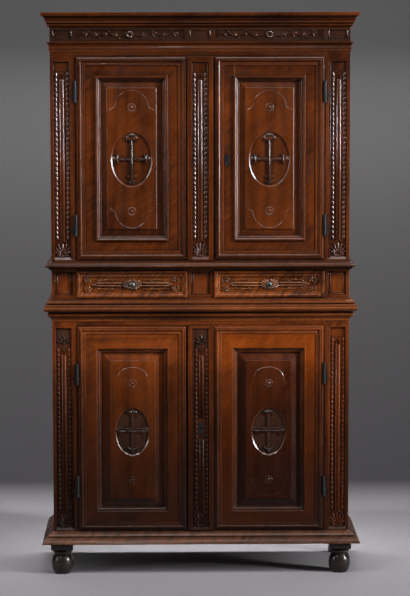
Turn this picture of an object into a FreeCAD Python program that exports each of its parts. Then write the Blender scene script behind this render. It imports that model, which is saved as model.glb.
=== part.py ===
import FreeCAD, Part
import math
import os

# A walnut cupboard in two stages: a two-door lower stage on turned feet, and an upper
# stage with a belt of two drawers, two doors, a carved frieze and a cornice.
# Millimetres. X runs to the right, the front faces -Y, Z is up, the floor is Z = 0.

Vector = FreeCAD.Vector
RIGHT = Vector(1, 0, 0)
BACK = Vector(0, 1, 0)
UP = Vector(0, 0, 1)
LEFT = RIGHT * -1
FRONT = BACK * -1
DOWN = UP * -1
ORIGIN = Vector(0, 0, 0)

# Overall form
body_width = 1160.0
body_depth = 425.0
plinth_projection = 44.0

# Heights of the tiers, from the floor up
foot_height = 127.0
plinth_height = 46.0
lower_opening_height = 816.0
lower_head_height = 17.0
bed_height = 38.0
top_board_thickness = 27.0
upper_base_height = 24.0
belt_height = 109.0
waist_height = 38.0
upper_opening_height = 794.0
upper_head_height = 15.0
architrave_height = 39.0
frieze_height = 54.0
cornice_height = 58.0

# How far each three-sided moulding stands out from the body
bed_projection = 17.0
top_board_projection = 31.0
upper_base_projection = 20.0
waist_projection = 23.5
architrave_projection = 11.0
cornice_projection = 33.0

# Carcass timbers
front_post_width = 95.0
front_post_depth = 60.0
rear_post_width = 50.0
rail_depth = 45.0
side_rail_height = 60.0
side_rail_thickness = 30.0
side_panel_thickness = 8.0
side_panel_set = 11.0
side_bevel_width = 34.0
side_bevel_start = 12.0
side_field_set = 2.0
side_field_step = 3.0
rear_rail_height = 84.0
back_board_thickness = 14.0
back_board_count = 5
back_board_gap = 0.5
shelf_thickness = 18.0
shelf_play = 1.0
cleat_width = 22.0
cleat_height = 24.0
frieze_thickness = 28.0
cornice_seat = 14.0
roof_thickness = 16.0
lower_shelf_height_share = 0.472
upper_shelf_height_shares = (0.34, 0.67)

# Sunk panels of the corner posts, the belt and the frieze
post_panel_width = 71.0
post_panel_depth = 6.0
post_panel_foot = 4.0
post_panel_sill = 10.0
upper_panel_end = 23.0
lower_panel_end = 10.0
belt_panel_margin = 12.0
belt_panel_head = 5.0
frieze_panel_margin = 9.0
frieze_panel_depth = 4.0
belt_post_width = 100.0

# Turned front feet
foot_pad_width = 87.0
foot_pad_height = 29.0
foot_neck_radius = 33.0
foot_neck_height = 5.0
foot_collar_radius = 38.0
foot_collar_height = 9.0
foot_ball_radius = 43.5
foot_sole_radius = 30.0
foot_swell_share = 0.5
foot_collar_edge_share = 0.3
foot_ball_bands = 5
foot_overhang = 12.0
turned_sides = 20

# Doors
door_clearance = 2.0
hinge_gap = 3.0
meeting_gap = 4.0
outer_moulding_margin = 5.0
tenon_thickness = 8.0
tenon_length = 36.0
tenon_shoulder = 12.0
tongue_length = 9.0
tongue_clearance = 0.3
pilaster_width = 100.0
pilaster_thickness = 8.0
pilaster_panel_width = 65.0
pilaster_panel_depth = 5.0

# Upper doors
upper_door_thickness = 28.0
upper_outer_moulding_width = 31.0
upper_outer_moulding_height = 8.0
upper_flat_width = 38.0
upper_inner_moulding_width = 24.0
upper_inner_moulding_lip = 5.0
upper_inner_moulding_height = 7.0
upper_panel_set = 10.0
upper_bevel_width = 23.0
upper_field_set = 1.0
upper_field_step = 4.0
upper_oval_half_width = 79.0
upper_oval_half_height = 106.0
upper_oval_drop = 3.0

# Lower doors
lower_door_thickness = 34.0
lower_outer_moulding_width = 27.0
lower_outer_moulding_height = 8.0
lower_flat_width = 41.0
lower_head_flat_extra = 14.0
lower_inner_moulding_width = 21.0
lower_inner_moulding_lip = 0.0
lower_inner_moulding_height = 0.0
lower_panel_set = 20.0
lower_bevel_width = 31.0
lower_field_set = 5.0
lower_field_step = 5.0
lower_oval_half_width = 66.5
lower_oval_half_height = 94.0
lower_oval_drop = 7.0

# Crosses in the ovals
panel_tongue_thickness = 8.0
oval_depth = 5.0
cross_relief = 4.0
cross_bar_width = 9.0
cross_cap_width = 8.0
cross_cap_length = 36.0
upper_cross_caps = (81.0, 66.0, 55.0)
upper_cross_reach = (96.0, 92.0, 73.0)
lower_cross_caps = (70.0, 62.0, 44.0)
lower_cross_reach = (82.0, 80.0, 61.0)

# Forged hinges
hinge_height = 83.0
hinge_radius = 5.75
hinge_pin_radius = 3.0
hinge_running_gap = 0.3
hinge_cap_thickness = 4.0
hinge_proud = 6.2
hinge_wing_thickness = 2.0
hinge_wing_length = 22.0
hinge_wing_height = 32.0
hinge_leaf_width = 20.0
hinge_leaf_height = 34.0
hinge_leaf_thickness = 1.5
forged_sides = 12
upper_hinge_inset = 136.0
lower_hinge_inset = 176.0

# Locks
lock_width = 68.0
lock_height = 64.0
lock_case_depth = 18.0
lock_wall = 2.0
lock_backset = 50.0
upper_keyhole_share = 0.491
lower_keyhole_share = 0.5
lock_bolt_height = 24.0
lock_bolt_thickness = 8.0
lock_bolt_length = 48.0
lock_bolt_travel = 12.0
lock_play = 0.3
keyhole_radius = 3.5
keyhole_slot_width = 3.0
keyhole_slot_length = 9.0
key_slot_width = 8.0
escutcheon_width = 22.0
escutcheon_height = 56.0
escutcheon_thickness = 1.5

# Slip bolts on the leaves that stay shut
slip_bolt_width = 14.0
slip_bolt_thickness = 6.0
slip_bolt_length = 150.0
slip_bolt_travel = 18.0
slip_bolt_clearance = 2.0
slip_bolt_margin = 30.0
slip_plate_width = 38.0
slip_plate_thickness = 1.5
slip_staple_height = 12.0
slip_staple_thickness = 2.0
slip_knob_size = 10.0

# Drawers
drawer_clearance = 2.0
drawer_front_thickness = 22.0
drawer_side_thickness = 12.0
drawer_bottom_thickness = 8.0
drawer_side_height = 92.0
drawer_rear_clearance = 29.0
drawer_side_inset = 6.0
drawer_side_play = 1.5
drawer_moulding_width = 22.0
drawer_moulding_height = 7.0
drawer_bottom_lift = 3.0
runner_width = 34.0
runner_height = 20.0
guide_height = 36.0
runner_gap = 0.3

# Drawer knobs
knob_radius = 13.0
knob_face_radius = 7.0
knob_neck_radius = 5.0
knob_rose_radius = 11.0
knob_rose_thickness = 1.5
knob_neck_length = 7.0
knob_head_rise = 4.0
knob_head_length = 9.0

overrun = 5.0

# Places that follow from the sizes above
body_half = body_width / 2
back_y = (body_depth + plinth_projection) / 2
face_y = back_y - body_depth
plinth_bottom_z = foot_height
plinth_top_z = plinth_bottom_z + plinth_height
lower_head_z = plinth_top_z + lower_opening_height
bed_z = lower_head_z + lower_head_height
top_board_z = bed_z + bed_height
upper_bottom_z = top_board_z + top_board_thickness
belt_z = upper_bottom_z + upper_base_height
waist_z = belt_z + belt_height
upper_opening_z = waist_z + waist_height
upper_head_z = upper_opening_z + upper_opening_height
architrave_z = upper_head_z + upper_head_height
frieze_z = architrave_z + architrave_height
cornice_z = frieze_z + frieze_height
post_inner_x = body_half - front_post_width
rear_inner_x = body_half - rear_post_width
side_inner_x = body_half - side_rail_thickness
post_back_y = face_y + front_post_depth
rear_front_y = back_y - rear_post_width
boards_front_y = back_y - back_board_thickness
hinge_axis_x = post_inner_x - hinge_gap / 2
hinge_axis_y = face_y - hinge_proud
door_edge_x = post_inner_x - hinge_gap

# Moulding sections. Each row is a share of the width, a share of the height and the
# bulge of the stretch that ends there: its rise over its chord, out if positive.
PLINTH_SHARES = (
    (0.00, 0.00, 0), (0.98, 0.00, 0), (1.00, 0.03, 0), (1.00, 0.10, 0), (0.54, 0.54, 0.10),
    (0.44, 0.56, 0), (0.44, 0.63, 0), (0.50, 0.65, 0), (0.10, 0.97, 0.10), (0.04, 1.00, 0),
    (0.00, 1.00, 0),
)
BED_SHARES = (
    (0.00, 0.00, 0), (0.08, 0.00, 0), (0.08, 0.10, 0), (0.60, 0.45, -0.12), (0.60, 0.51, 0),
    (0.92, 0.54, 0), (1.00, 0.57, 0), (1.00, 0.76, 0), (0.94, 0.80, 0), (0.40, 0.80, 0),
    (0.40, 1.00, 0), (0.00, 1.00, 0),
)
UPPER_BASE_SHARES = (
    (0.00, 0.00, 0), (0.76, 0.00, 0), (0.76, 0.14, 0), (0.96, 0.16, 0), (1.00, 0.22, 0),
    (1.00, 0.38, 0), (0.84, 0.48, 0), (0.42, 0.80, 0.10), (0.34, 0.81, 0), (0.34, 0.92, 0),
    (0.14, 1.00, 0), (0.00, 1.00, 0),
)
WAIST_SHARES = (
    (0.00, 0.00, 0), (0.06, 0.00, 0), (0.12, 0.08, 0), (0.46, 0.16, 0), (0.50, 0.20, 0),
    (0.50, 0.33, 0), (0.94, 0.38, 0), (1.00, 0.42, 0), (1.00, 0.50, 0), (0.86, 0.60, 0.14),
    (0.74, 0.60, 0), (0.68, 0.67, 0), (0.26, 0.91, 0.12), (0.18, 0.92, 0), (0.14, 1.00, 0),
    (0.00, 1.00, 0),
)
ARCHITRAVE_SHARES = (
    (0.00, 0.00, 0), (0.12, 0.00, 0), (0.12, 0.08, 0), (0.26, 0.10, 0), (0.26, 0.20, 0),
    (0.20, 0.24, 0), (0.40, 0.29, 0), (0.40, 0.38, 0), (0.34, 0.43, 0), (0.62, 0.79, -0.08),
    (0.96, 0.85, 0), (1.00, 0.88, 0), (1.00, 1.00, 0), (0.00, 1.00, 0),
)
CORNICE_SHARES = (
    (0.00, 0.00, 0), (0.05, 0.00, 0), (0.05, 0.04, 0), (0.28, 0.12, 0), (0.32, 0.14, 0),
    (0.32, 0.22, 0), (0.28, 0.25, 0), (0.44, 0.30, 0), (0.49, 0.32, 0), (0.49, 0.37, 0),
    (0.46, 0.40, 0), (0.54, 0.51, -0.10), (0.60, 0.53, 0), (0.60, 0.58, 0), (0.56, 0.61, 0),
    (0.70, 0.69, -0.10), (0.77, 0.70, 0), (0.77, 0.76, 0), (0.97, 0.77, 0), (1.00, 0.80, 0),
    (1.00, 0.97, 0), (0.97, 1.00, 0), (0.00, 1.00, 0),
)
TOP_BOARD_SHARES = (
    (0.00, 0.00, 0), (0.72, 0.00, 0), (0.74, 0.06, 0), (1.00, 0.40, 0.16), (0.92, 0.66, 0.12),
    (0.86, 0.68, 0), (0.86, 0.95, 0), (0.83, 1.00, 0), (0.00, 1.00, 0),
)
OUTER_MOULDING_SHARES = (
    (0.00, 0.00, 0), (1.00, 0.00, 0), (0.99, 0.28, 0), (0.90, 0.40, 0), (0.80, 0.30, 0),
    (0.74, 0.34, 0), (0.46, 0.56, -0.12), (0.42, 0.92, 0), (0.33, 1.00, 0), (0.24, 0.92, 0),
    (0.21, 0.58, 0), (0.10, 0.68, 0), (0.00, 0.52, 0),
)
BOLECTION_SHARES = (
    (0.00, 0.00, 0), (1.00, 0.00, 0), (0.99, 0.14, 0), (0.90, 0.26, 0), (0.80, 0.28, 0),
    (0.50, 0.66, -0.12), (0.46, 0.90, 0), (0.34, 1.00, 0), (0.14, 1.00, 0), (0.00, 0.80, 0),
)
SUNK_MOULDING_SHARES = (
    (0.00, 0.00, 0), (1.00, 0.00, 0), (0.99, 0.14, 0), (0.90, 0.26, 0), (0.78, 0.28, 0),
    (0.40, 0.64, -0.12), (0.30, 0.66, 0), (0.24, 0.84, 0), (0.10, 0.98, 0), (0.00, 1.00, 0),
)
DRAWER_MOULDING_SHARES = (
    (0.00, 0.00, 0), (1.00, 0.00, 0), (1.00, 0.20, 0), (0.88, 0.36, 0), (0.76, 0.32, 0),
    (0.44, 0.78, -0.12), (0.38, 0.98, 0), (0.12, 1.00, 0), (0.00, 0.76, 0),
)

# Outlines of the iron plates. Each corner is a share of the width and of the height.
HINGE_LEAF_SHARES = (
    (0.00, 1.00), (0.00, 0.00), (0.30, 0.06), (0.50, 0.24), (0.36, 0.36), (0.62, 0.40),
    (1.00, 0.50), (0.62, 0.60), (0.36, 0.64), (0.50, 0.76), (0.30, 0.94),
)
ESCUTCHEON_SHARES = (
    (0.00, 0.50), (-0.16, 0.36), (-0.50, 0.24), (-0.30, 0.06), (-0.30, -0.06), (-0.50, -0.24),
    (-0.16, -0.36), (0.00, -0.50), (0.16, -0.36), (0.50, -0.24), (0.30, -0.06), (0.30, 0.06),
    (0.50, 0.24), (0.16, 0.36),
)

os.makedirs("parts", exist_ok=True)


def save(name, solids):
    """One named piece, or a group of like pieces, in its own file."""
    Part.makeCompound(solids).exportStep("parts/" + name + ".step")


def block(x_span, y_span, z_span):
    """A squared board between two places along each axis."""
    low = Vector(x_span[0], y_span[0], z_span[0])
    high = Vector(x_span[1], y_span[1], z_span[1])
    size = high - low
    return Part.makeBox(size.x, size.y, size.z, low)


def mirrored(shape):
    """The same piece on the other side of the centre line."""
    return shape.mirror(ORIGIN, RIGHT)


def both_sides(shape):
    return [shape, mirrored(shape)]


def prism(corners, direction):
    """A solid with straight sides over a polygon."""
    outline = Part.makePolygon(corners + [corners[0]])
    return Part.Face(outline).extrude(direction)


def scaled(shares, width, height):
    """A moulding section in real sizes, from its shares."""
    return [(across * width, out * height, bulge) for across, out, bulge in shares]


def section_face(section, place):
    """The flat face inside a section of straight and arched stretches."""
    edges = []
    for number, (across, out, bulge) in enumerate(section):
        from_across, from_out, _ = section[number - 1]
        start = place(from_across, from_out)
        end = place(across, out)
        if bulge:
            middle_across = (from_across + across) / 2 + bulge * (out - from_out)
            middle_out = (from_out + out) / 2 - bulge * (across - from_across)
            arc = Part.Arc(start, place(middle_across, middle_out), end)
            edges.append(arc.toShape())
        else:
            edges.append(Part.LineSegment(start, end).toShape())
    return Part.Face(Part.Wire(edges))


def mitred_strip(section, corner, along, across, out, length, mitres):
    """A moulding laid along one edge, cut at each end.

    A mitre of 1 makes the strip longer as it goes across, -1 shorter, and 0 is square.
    """
    nearest = min(row[0] for row in section) - overrun
    farthest = max(row[0] for row in section) + overrun
    lowest = min(row[1] for row in section) - overrun
    highest = max(row[1] for row in section) + overrun

    def place(step_across, step_out, step_along=-farthest):
        return corner + across * step_across + out * step_out + along * step_along

    bar = section_face(section, place).extrude(along * (length + farthest + farthest))
    first, last = mitres
    cutter = prism(
        [
            place(nearest, lowest, -first * nearest),
            place(farthest, lowest, -first * farthest),
            place(farthest, lowest, length + last * farthest),
            place(nearest, lowest, length + last * nearest),
        ],
        out * (highest - lowest),
    )
    return bar.common(cutter).Solids[0]


def three_sided(section, bottom_z):
    """A moulding along the front and both sides of the body."""
    front = mitred_strip(
        section, Vector(-body_half, face_y, bottom_z), RIGHT, FRONT, UP, body_width, (1, 1)
    )
    side = mitred_strip(
        section, Vector(-body_half, back_y, bottom_z), FRONT, LEFT, UP, body_depth, (0, 1)
    )
    return [front] + both_sides(side)


def framed(section, x_span, z_span, plane_y):
    """Four strips mitred inside an upright rectangle, standing forward of a plane."""
    left_x, right_x = x_span
    low_z, high_z = z_span
    width = right_x - left_x
    height = high_z - low_z
    runs = (
        (Vector(left_x, plane_y, low_z), RIGHT, UP, width),
        (Vector(right_x, plane_y, low_z), UP, LEFT, height),
        (Vector(right_x, plane_y, high_z), LEFT, DOWN, width),
        (Vector(left_x, plane_y, high_z), DOWN, RIGHT, height),
    )
    return [
        mitred_strip(section, corner, along, across, FRONT, length, (-1, -1))
        for corner, along, across, length in runs
    ]


def lapped(section, lip):
    """A section moved back so that its near edge laps over the neighbouring wood."""
    return [(across - lip, out, bulge) for across, out, bulge in section]


def fielded_panel(x_span, z_span, plane_y, tongue, thickness, bevel_start, bevel, rise, step):
    """A panel whose middle is raised in front of a tongued edge by a bevel and a step."""
    left_x, right_x = x_span
    low_z, high_z = z_span

    def rectangle(inset, y):
        return [
            Vector(left_x + inset, y, low_z + inset),
            Vector(right_x - inset, y, low_z + inset),
            Vector(right_x - inset, y, high_z - inset),
            Vector(left_x + inset, y, high_z - inset),
        ]

    plate = prism(rectangle(-tongue, plane_y), BACK * thickness)
    inner = rectangle(bevel_start + bevel, plane_y - rise)
    slope = flat_sided([rectangle(bevel_start, plane_y), inner])
    field = prism(inner, FRONT * step)
    return plate.fuse([slope, field]).removeSplitter()


def flat_sided(rings):
    """A closed solid between polygons with equally many corners, near end first."""
    faces = [Part.Face(Part.makePolygon(ring + [ring[0]])) for ring in (rings[0], rings[-1])]
    for near, far in zip(rings, rings[1:]):
        for number, corner in enumerate(near):
            edge = [near[number - 1], corner, far[number], far[number - 1]]
            faces.append(Part.Face(Part.makePolygon(edge + [edge[0]])))
    solid = Part.Solid(Part.Shell(faces))
    if solid.Volume < 0:
        solid.reverse()
    return solid


def turned(outline, centre, axis, sides):
    """A turned or hammered piece with narrow flats, from places along and off its axis."""
    other = axis.cross(RIGHT)
    rings = []
    for along, radius in outline:
        ring = []
        for number in range(sides):
            turn = 2 * math.pi * number / sides
            off_axis = RIGHT * (radius * math.cos(turn)) + other * (radius * math.sin(turn))
            ring.append(centre + axis * along + off_axis)
        rings.append(ring)
    return flat_sided(rings)


def forged_barrel(foot, length, radius):
    return turned([(0, radius), (length, radius)], foot, UP, forged_sides)


def upright_oval(centre, half_width, half_height, direction):
    """An upright oval prism, longer than it is wide."""
    tip = centre + UP * half_height
    side = centre + RIGHT * half_width
    ring = Part.Wire([Part.Ellipse(tip, side, centre).toShape()])
    return Part.Face(ring).extrude(direction)


# Pieces of the carcass


def front_foot():
    """A turned ball foot under a square pad, at the left front corner."""
    pad_outer_x = -body_half - foot_overhang
    pad_front_y = face_y - foot_overhang
    pad_bottom_z = foot_height - foot_pad_height
    centre = Vector(pad_outer_x + foot_pad_width / 2, pad_front_y + foot_pad_width / 2, 0)
    pad = block(
        (pad_outer_x, pad_outer_x + foot_pad_width),
        (pad_front_y, pad_front_y + foot_pad_width),
        (pad_bottom_z, foot_height),
    )
    collar_top_z = pad_bottom_z - foot_neck_height
    ball_top_z = collar_top_z - foot_collar_height
    swell = Part.Arc(
        Vector(0, foot_sole_radius, 0),
        Vector(ball_top_z * foot_swell_share, foot_ball_radius, 0),
        Vector(ball_top_z, foot_neck_radius, 0),
    )
    outline = [(point.x, point.y) for point in swell.discretize(foot_ball_bands + 1)]
    outline += [
        (ball_top_z + foot_collar_height * foot_collar_edge_share, foot_collar_radius),
        (collar_top_z - foot_collar_height * foot_collar_edge_share, foot_collar_radius),
        (collar_top_z, foot_neck_radius),
        (pad_bottom_z, foot_neck_radius),
    ]
    return pad.fuse(turned(outline, centre, UP, turned_sides))


def sunk_pocket(middle_x, width, low_z, high_z, front_y, depth):
    """A sunk panel with a sloping sill at its foot, to be cut from a face."""
    open_y = front_y - overrun
    floor_y = front_y + depth
    side = (
        (open_y, low_z),
        (front_y, low_z),
        (floor_y, low_z + post_panel_sill),
        (floor_y, high_z),
        (open_y, high_z),
    )
    return prism([Vector(middle_x - width / 2, y, z) for y, z in side], RIGHT * width)


def hinge_heights(bottom_z, top_z, inset):
    """Middle heights of a door's two hinges."""
    return (bottom_z + door_clearance + inset, top_z - door_clearance - inset)


lower_hinges = hinge_heights(plinth_top_z, lower_head_z - lower_head_flat_extra, lower_hinge_inset)
upper_hinges = hinge_heights(upper_opening_z, upper_head_z, upper_hinge_inset)


def carcass_wing(middle_z):
    """The thin wing of the fixed hinge half, let into the edge of the left post."""
    outer_x = -hinge_axis_x - hinge_running_gap
    top_z = middle_z - hinge_running_gap / 2
    return block(
        (outer_x - hinge_wing_thickness, outer_x),
        (hinge_axis_y, face_y + hinge_wing_length),
        (top_z - hinge_wing_height, top_z),
    )


def front_posts(low_z, high_z, opening, panel_end, hinges, extra_pockets):
    """Two corner posts with a sunk panel, and mortises for the hinge wings."""
    middle_x = -body_half + front_post_width / 2
    post = block((-body_half, -post_inner_x), (face_y, post_back_y), (low_z, high_z))
    pockets = [
        sunk_pocket(
            middle_x,
            post_panel_width,
            opening[0] + post_panel_foot,
            opening[1] - panel_end,
            face_y,
            post_panel_depth,
        )
    ]
    pockets += extra_pockets
    pockets += [carcass_wing(z) for z in hinges]
    return both_sides(post.cut(pockets))


def rear_posts(low_z, high_z):
    post = block((-body_half, -rear_inner_x), (rear_front_y, back_y), (low_z, high_z))
    return both_sides(post)


def side_frame(low_z, panel_low_z, panel_high_z, high_z):
    """Rails above and below the panel of the left side, grooved for it."""
    groove_x = -body_half + side_panel_set
    groove = block(
        (groove_x - tongue_clearance, groove_x + side_panel_thickness + tongue_clearance),
        (post_back_y, rear_front_y),
        (
            panel_low_z - tongue_length - tongue_clearance,
            panel_high_z + tongue_length + tongue_clearance,
        ),
    )
    rails = []
    for rail_span in ((low_z, panel_low_z), (panel_high_z, high_z)):
        rail = block((-body_half, -side_inner_x), (post_back_y, rear_front_y), rail_span)
        rails.append(rail.cut(groove))
    return rails


def side_panel(low_z, high_z):
    """The raised and fielded panel of the left side, made facing the front and turned."""
    panel = fielded_panel(
        (-rear_front_y + tongue_length, -post_back_y - tongue_length),
        (low_z, high_z),
        -body_half + side_panel_set,
        tongue_length,
        side_panel_thickness,
        side_bevel_start - tongue_length,
        side_bevel_width,
        side_panel_set - side_field_set - side_field_step,
        side_field_step,
    )
    panel.rotate(ORIGIN, UP, -90)
    return panel


def back_boards(low_z, high_z):
    """Upright boards nailed across the back, between the rear posts."""
    pitch = (rear_inner_x + rear_inner_x) / back_board_count
    boards = []
    for number in range(back_board_count):
        left_x = -rear_inner_x + number * pitch
        boards.append(
            block(
                (left_x + back_board_gap / 2, left_x + pitch - back_board_gap / 2),
                (boards_front_y, back_y),
                (low_z, high_z),
            )
        )
    return boards


def inner_board(front_y, bottom_z, play):
    """A shelf or floor notched round the four posts."""
    reach = side_inner_x - play
    board = block((-reach, reach), (front_y, boards_front_y), (bottom_z, bottom_z + shelf_thickness))
    posts = []
    for inner_x, y_span in ((post_inner_x, (face_y, post_back_y)), (rear_inner_x, (rear_front_y, back_y))):
        notch = block(
            (-body_half, -inner_x + play),
            (y_span[0] - play, y_span[1] + play),
            (bottom_z, bottom_z + shelf_thickness),
        )
        posts += both_sides(notch)
    return board.cut(posts)


def cleats(top_z):
    """Bearers for a shelf, fixed between the posts of each side."""
    cleat = block(
        (-side_inner_x, -side_inner_x + cleat_width),
        (post_back_y, rear_front_y),
        (top_z - cleat_height, top_z),
    )
    return both_sides(cleat)


def rear_rail(bottom_z, height):
    """A rail between the rear posts, in front of the back boards."""
    return block(
        (-rear_inner_x, rear_inner_x), (rear_front_y, boards_front_y), (bottom_z, bottom_z + height)
    )


def front_rail(bottom_z, top_z):
    return block((-post_inner_x, post_inner_x), (face_y, face_y + rail_depth), (bottom_z, top_z))


def edge_moulded_board(bottom_z):
    """The board that closes the lower stage, with its front and side edges moulded."""
    core = block((-body_half, body_half), (face_y, back_y), (bottom_z, bottom_z + top_board_thickness))
    section = scaled(TOP_BOARD_SHARES, top_board_projection, top_board_thickness)
    return core.fuse(three_sided(section, bottom_z)).removeSplitter()


# Doors. Each is made for the left side, hinged on its left edge, and mirrored for the right.


def door_sizes(stage):
    """The sizes that differ between the upper and the lower doors."""
    if stage == "upper":
        return {
            "z_span": (upper_opening_z + door_clearance, upper_head_z - door_clearance),
            "thickness": upper_door_thickness,
            "outer": (upper_outer_moulding_width, upper_outer_moulding_height),
            "flat": upper_flat_width,
            "inner_width": upper_inner_moulding_width,
            "lip": upper_inner_moulding_lip,
            "inner_height": upper_inner_moulding_height,
            "inner_shares": BOLECTION_SHARES,
            "panel_set": upper_panel_set,
            "bevel": upper_bevel_width,
            "field_set": upper_field_set,
            "field_step": upper_field_step,
            "oval": (upper_oval_half_width, upper_oval_half_height, upper_oval_drop),
            "cross": (upper_cross_caps, upper_cross_reach),
            "hinges": upper_hinges,
            "keyhole_z": upper_opening_z + upper_opening_height * upper_keyhole_share,
            "head_extra": 0.0,
            "panel_end": upper_panel_end,
            "left_has_pilaster": True,
        }
    return {
        "z_span": (plinth_top_z + door_clearance, lower_head_z - door_clearance),
        "thickness": lower_door_thickness,
        "outer": (lower_outer_moulding_width, lower_outer_moulding_height),
        "flat": lower_flat_width,
        "inner_width": lower_inner_moulding_width,
        "lip": lower_inner_moulding_lip,
        "inner_height": lower_inner_moulding_height,
        "inner_shares": SUNK_MOULDING_SHARES,
        "panel_set": lower_panel_set,
        "bevel": lower_bevel_width,
        "field_set": lower_field_set,
        "field_step": lower_field_step,
        "oval": (lower_oval_half_width, lower_oval_half_height, lower_oval_drop),
        "cross": (lower_cross_caps, lower_cross_reach),
        "hinges": lower_hinges,
        "keyhole_z": plinth_top_z + lower_opening_height * lower_keyhole_share,
        "head_extra": lower_head_flat_extra,
        "panel_end": lower_panel_end,
        "left_has_pilaster": False,
    }


def leaf_span(has_pilaster):
    """Left and right edges of a leaf and of its panelled part, for the left side."""
    pilaster_half = pilaster_width / 2
    if has_pilaster:
        return (-door_edge_x, pilaster_half, -pilaster_half)
    free_x = -pilaster_half - meeting_gap
    return (-door_edge_x, free_x, free_x)


def frame_border(sizes):
    """Width of a stile or rail, from the leaf's edge to the panel opening."""
    return outer_moulding_margin + sizes["outer"][0] + sizes["flat"] + sizes["lip"]


def door_opening(sizes, has_pilaster):
    """The panel opening inside a door's frame."""
    edge_x, _, panelled_x = leaf_span(has_pilaster)
    border = frame_border(sizes)
    low_z, high_z = sizes["z_span"]
    open_high = high_z - border - sizes["head_extra"]
    return (edge_x + border, panelled_x - border), (low_z + border, open_high)


def door_frame(sizes, has_pilaster, fittings):
    """Two stiles and two tenoned rails, grooved for the panel."""
    edge_x, free_x, _ = leaf_span(has_pilaster)
    (open_left, open_right), (open_low, open_high) = door_opening(sizes, has_pilaster)
    low_z, high_z = sizes["z_span"]
    y_span = (face_y, face_y + sizes["thickness"])
    groove_y = face_y + sizes["panel_set"]
    groove_reach = tongue_length + tongue_clearance
    groove = block(
        (open_left - groove_reach, open_right + groove_reach),
        (groove_y - tongue_clearance, groove_y + panel_tongue_thickness + tongue_clearance),
        (open_low - groove_reach, open_high + groove_reach),
    )
    tenon_y = (groove_y, groove_y + tenon_thickness)
    rails = []
    tenons = []
    for span, tenon_span in (
        ((low_z, open_low), (low_z + tenon_shoulder, open_low - tenon_shoulder)),
        ((open_high, high_z), (open_high + tenon_shoulder, high_z - tenon_shoulder)),
    ):
        tenon = block((open_left - tenon_length, open_right + tenon_length), tenon_y, tenon_span)
        rail = block((open_left, open_right), y_span, span)
        rails.append(rail.fuse(tenon).cut(groove).removeSplitter())
        tenons.append(tenon)
    cuts = tenons + [groove] + fittings
    hinge_stile = block((edge_x, open_left), y_span, (low_z, high_z)).cut(cuts)
    meeting_stile = block((open_right, free_x), y_span, (low_z, high_z)).cut(cuts)
    return [hinge_stile, meeting_stile] + rails


def cross(centre, sizes, direction):
    """A cross with a small bar across each of its four ends."""
    (cap_up, cap_down, cap_side), (reach_up, reach_down, reach_side) = sizes
    bar = cross_bar_width / 2
    cap = cross_cap_width / 2
    cap_reach = cross_cap_length / 2
    x, y, z = centre.x, centre.y, centre.z
    depth = (y + direction.y, y)
    pieces = [
        block((x - bar, x + bar), depth, (z - reach_down, z + reach_up)),
        block((x - reach_side, x + reach_side), depth, (z - bar, z + bar)),
        block((x - cap_reach, x + cap_reach), depth, (z + cap_up - cap, z + cap_up + cap)),
        block((x - cap_reach, x + cap_reach), depth, (z - cap_down - cap, z - cap_down + cap)),
        block((x - cap_side - cap, x - cap_side + cap), depth, (z - cap_reach, z + cap_reach)),
        block((x + cap_side - cap, x + cap_side + cap), depth, (z - cap_reach, z + cap_reach)),
    ]
    return pieces[0].fuse(pieces[1:]).removeSplitter()


def door_panel(sizes, has_pilaster):
    """A raised and fielded panel with a cross in a sunk oval."""
    x_span, z_span = door_opening(sizes, has_pilaster)
    plane_y = face_y + sizes["panel_set"]
    rise = sizes["panel_set"] - sizes["field_set"] - sizes["field_step"]
    panel = fielded_panel(
        x_span,
        z_span,
        plane_y,
        tongue_length,
        panel_tongue_thickness,
        sizes["inner_width"] - sizes["lip"],
        sizes["bevel"],
        rise,
        sizes["field_step"],
    )
    half_width, half_height, drop = sizes["oval"]
    field_y = face_y + sizes["field_set"]
    middle = Vector(sum(x_span) / 2, field_y - overrun, sum(z_span) / 2 - drop)
    hollow = upright_oval(middle, half_width, half_height, BACK * (overrun + oval_depth))
    floor_centre = Vector(middle.x, field_y + oval_depth, middle.z)
    figure = cross(floor_centre, sizes["cross"], FRONT * cross_relief)
    return [panel.cut(hollow).fuse(figure).removeSplitter()]


def door_mouldings(sizes, has_pilaster):
    """The mitred mouldings round the edge of the leaf and round its panel."""
    edge_x, _, panelled_x = leaf_span(has_pilaster)
    low_z, high_z = sizes["z_span"]
    margin = outer_moulding_margin
    outer = framed(
        scaled(OUTER_MOULDING_SHARES, *sizes["outer"]),
        (edge_x + margin, panelled_x - margin),
        (low_z + margin, high_z - margin),
        face_y,
    )
    x_span, z_span = door_opening(sizes, has_pilaster)
    panel_set = sizes["panel_set"]
    lip = sizes["lip"]
    full_height = panel_set + sizes["inner_height"]
    section = lapped(scaled(sizes["inner_shares"], sizes["inner_width"], full_height), lip)
    if lip:
        section = [(0, 0, 0)] + section[1:] + [(-lip, panel_set, 0), (0, panel_set, 0)]
    inner = framed(section, x_span, z_span, face_y + panel_set)
    return outer + inner


def pilaster(sizes):
    """The flat pilaster planted on a meeting stile, with its sunk panel."""
    half = pilaster_width / 2
    low_z, high_z = sizes["z_span"]
    front_y = face_y - pilaster_thickness
    slab = block((-half, half), (front_y, face_y), (low_z, high_z))
    pocket = sunk_pocket(
        0,
        pilaster_panel_width,
        low_z + post_panel_foot,
        high_z - sizes["panel_end"],
        front_y,
        pilaster_panel_depth,
    )
    return slab.cut(pocket)


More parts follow.
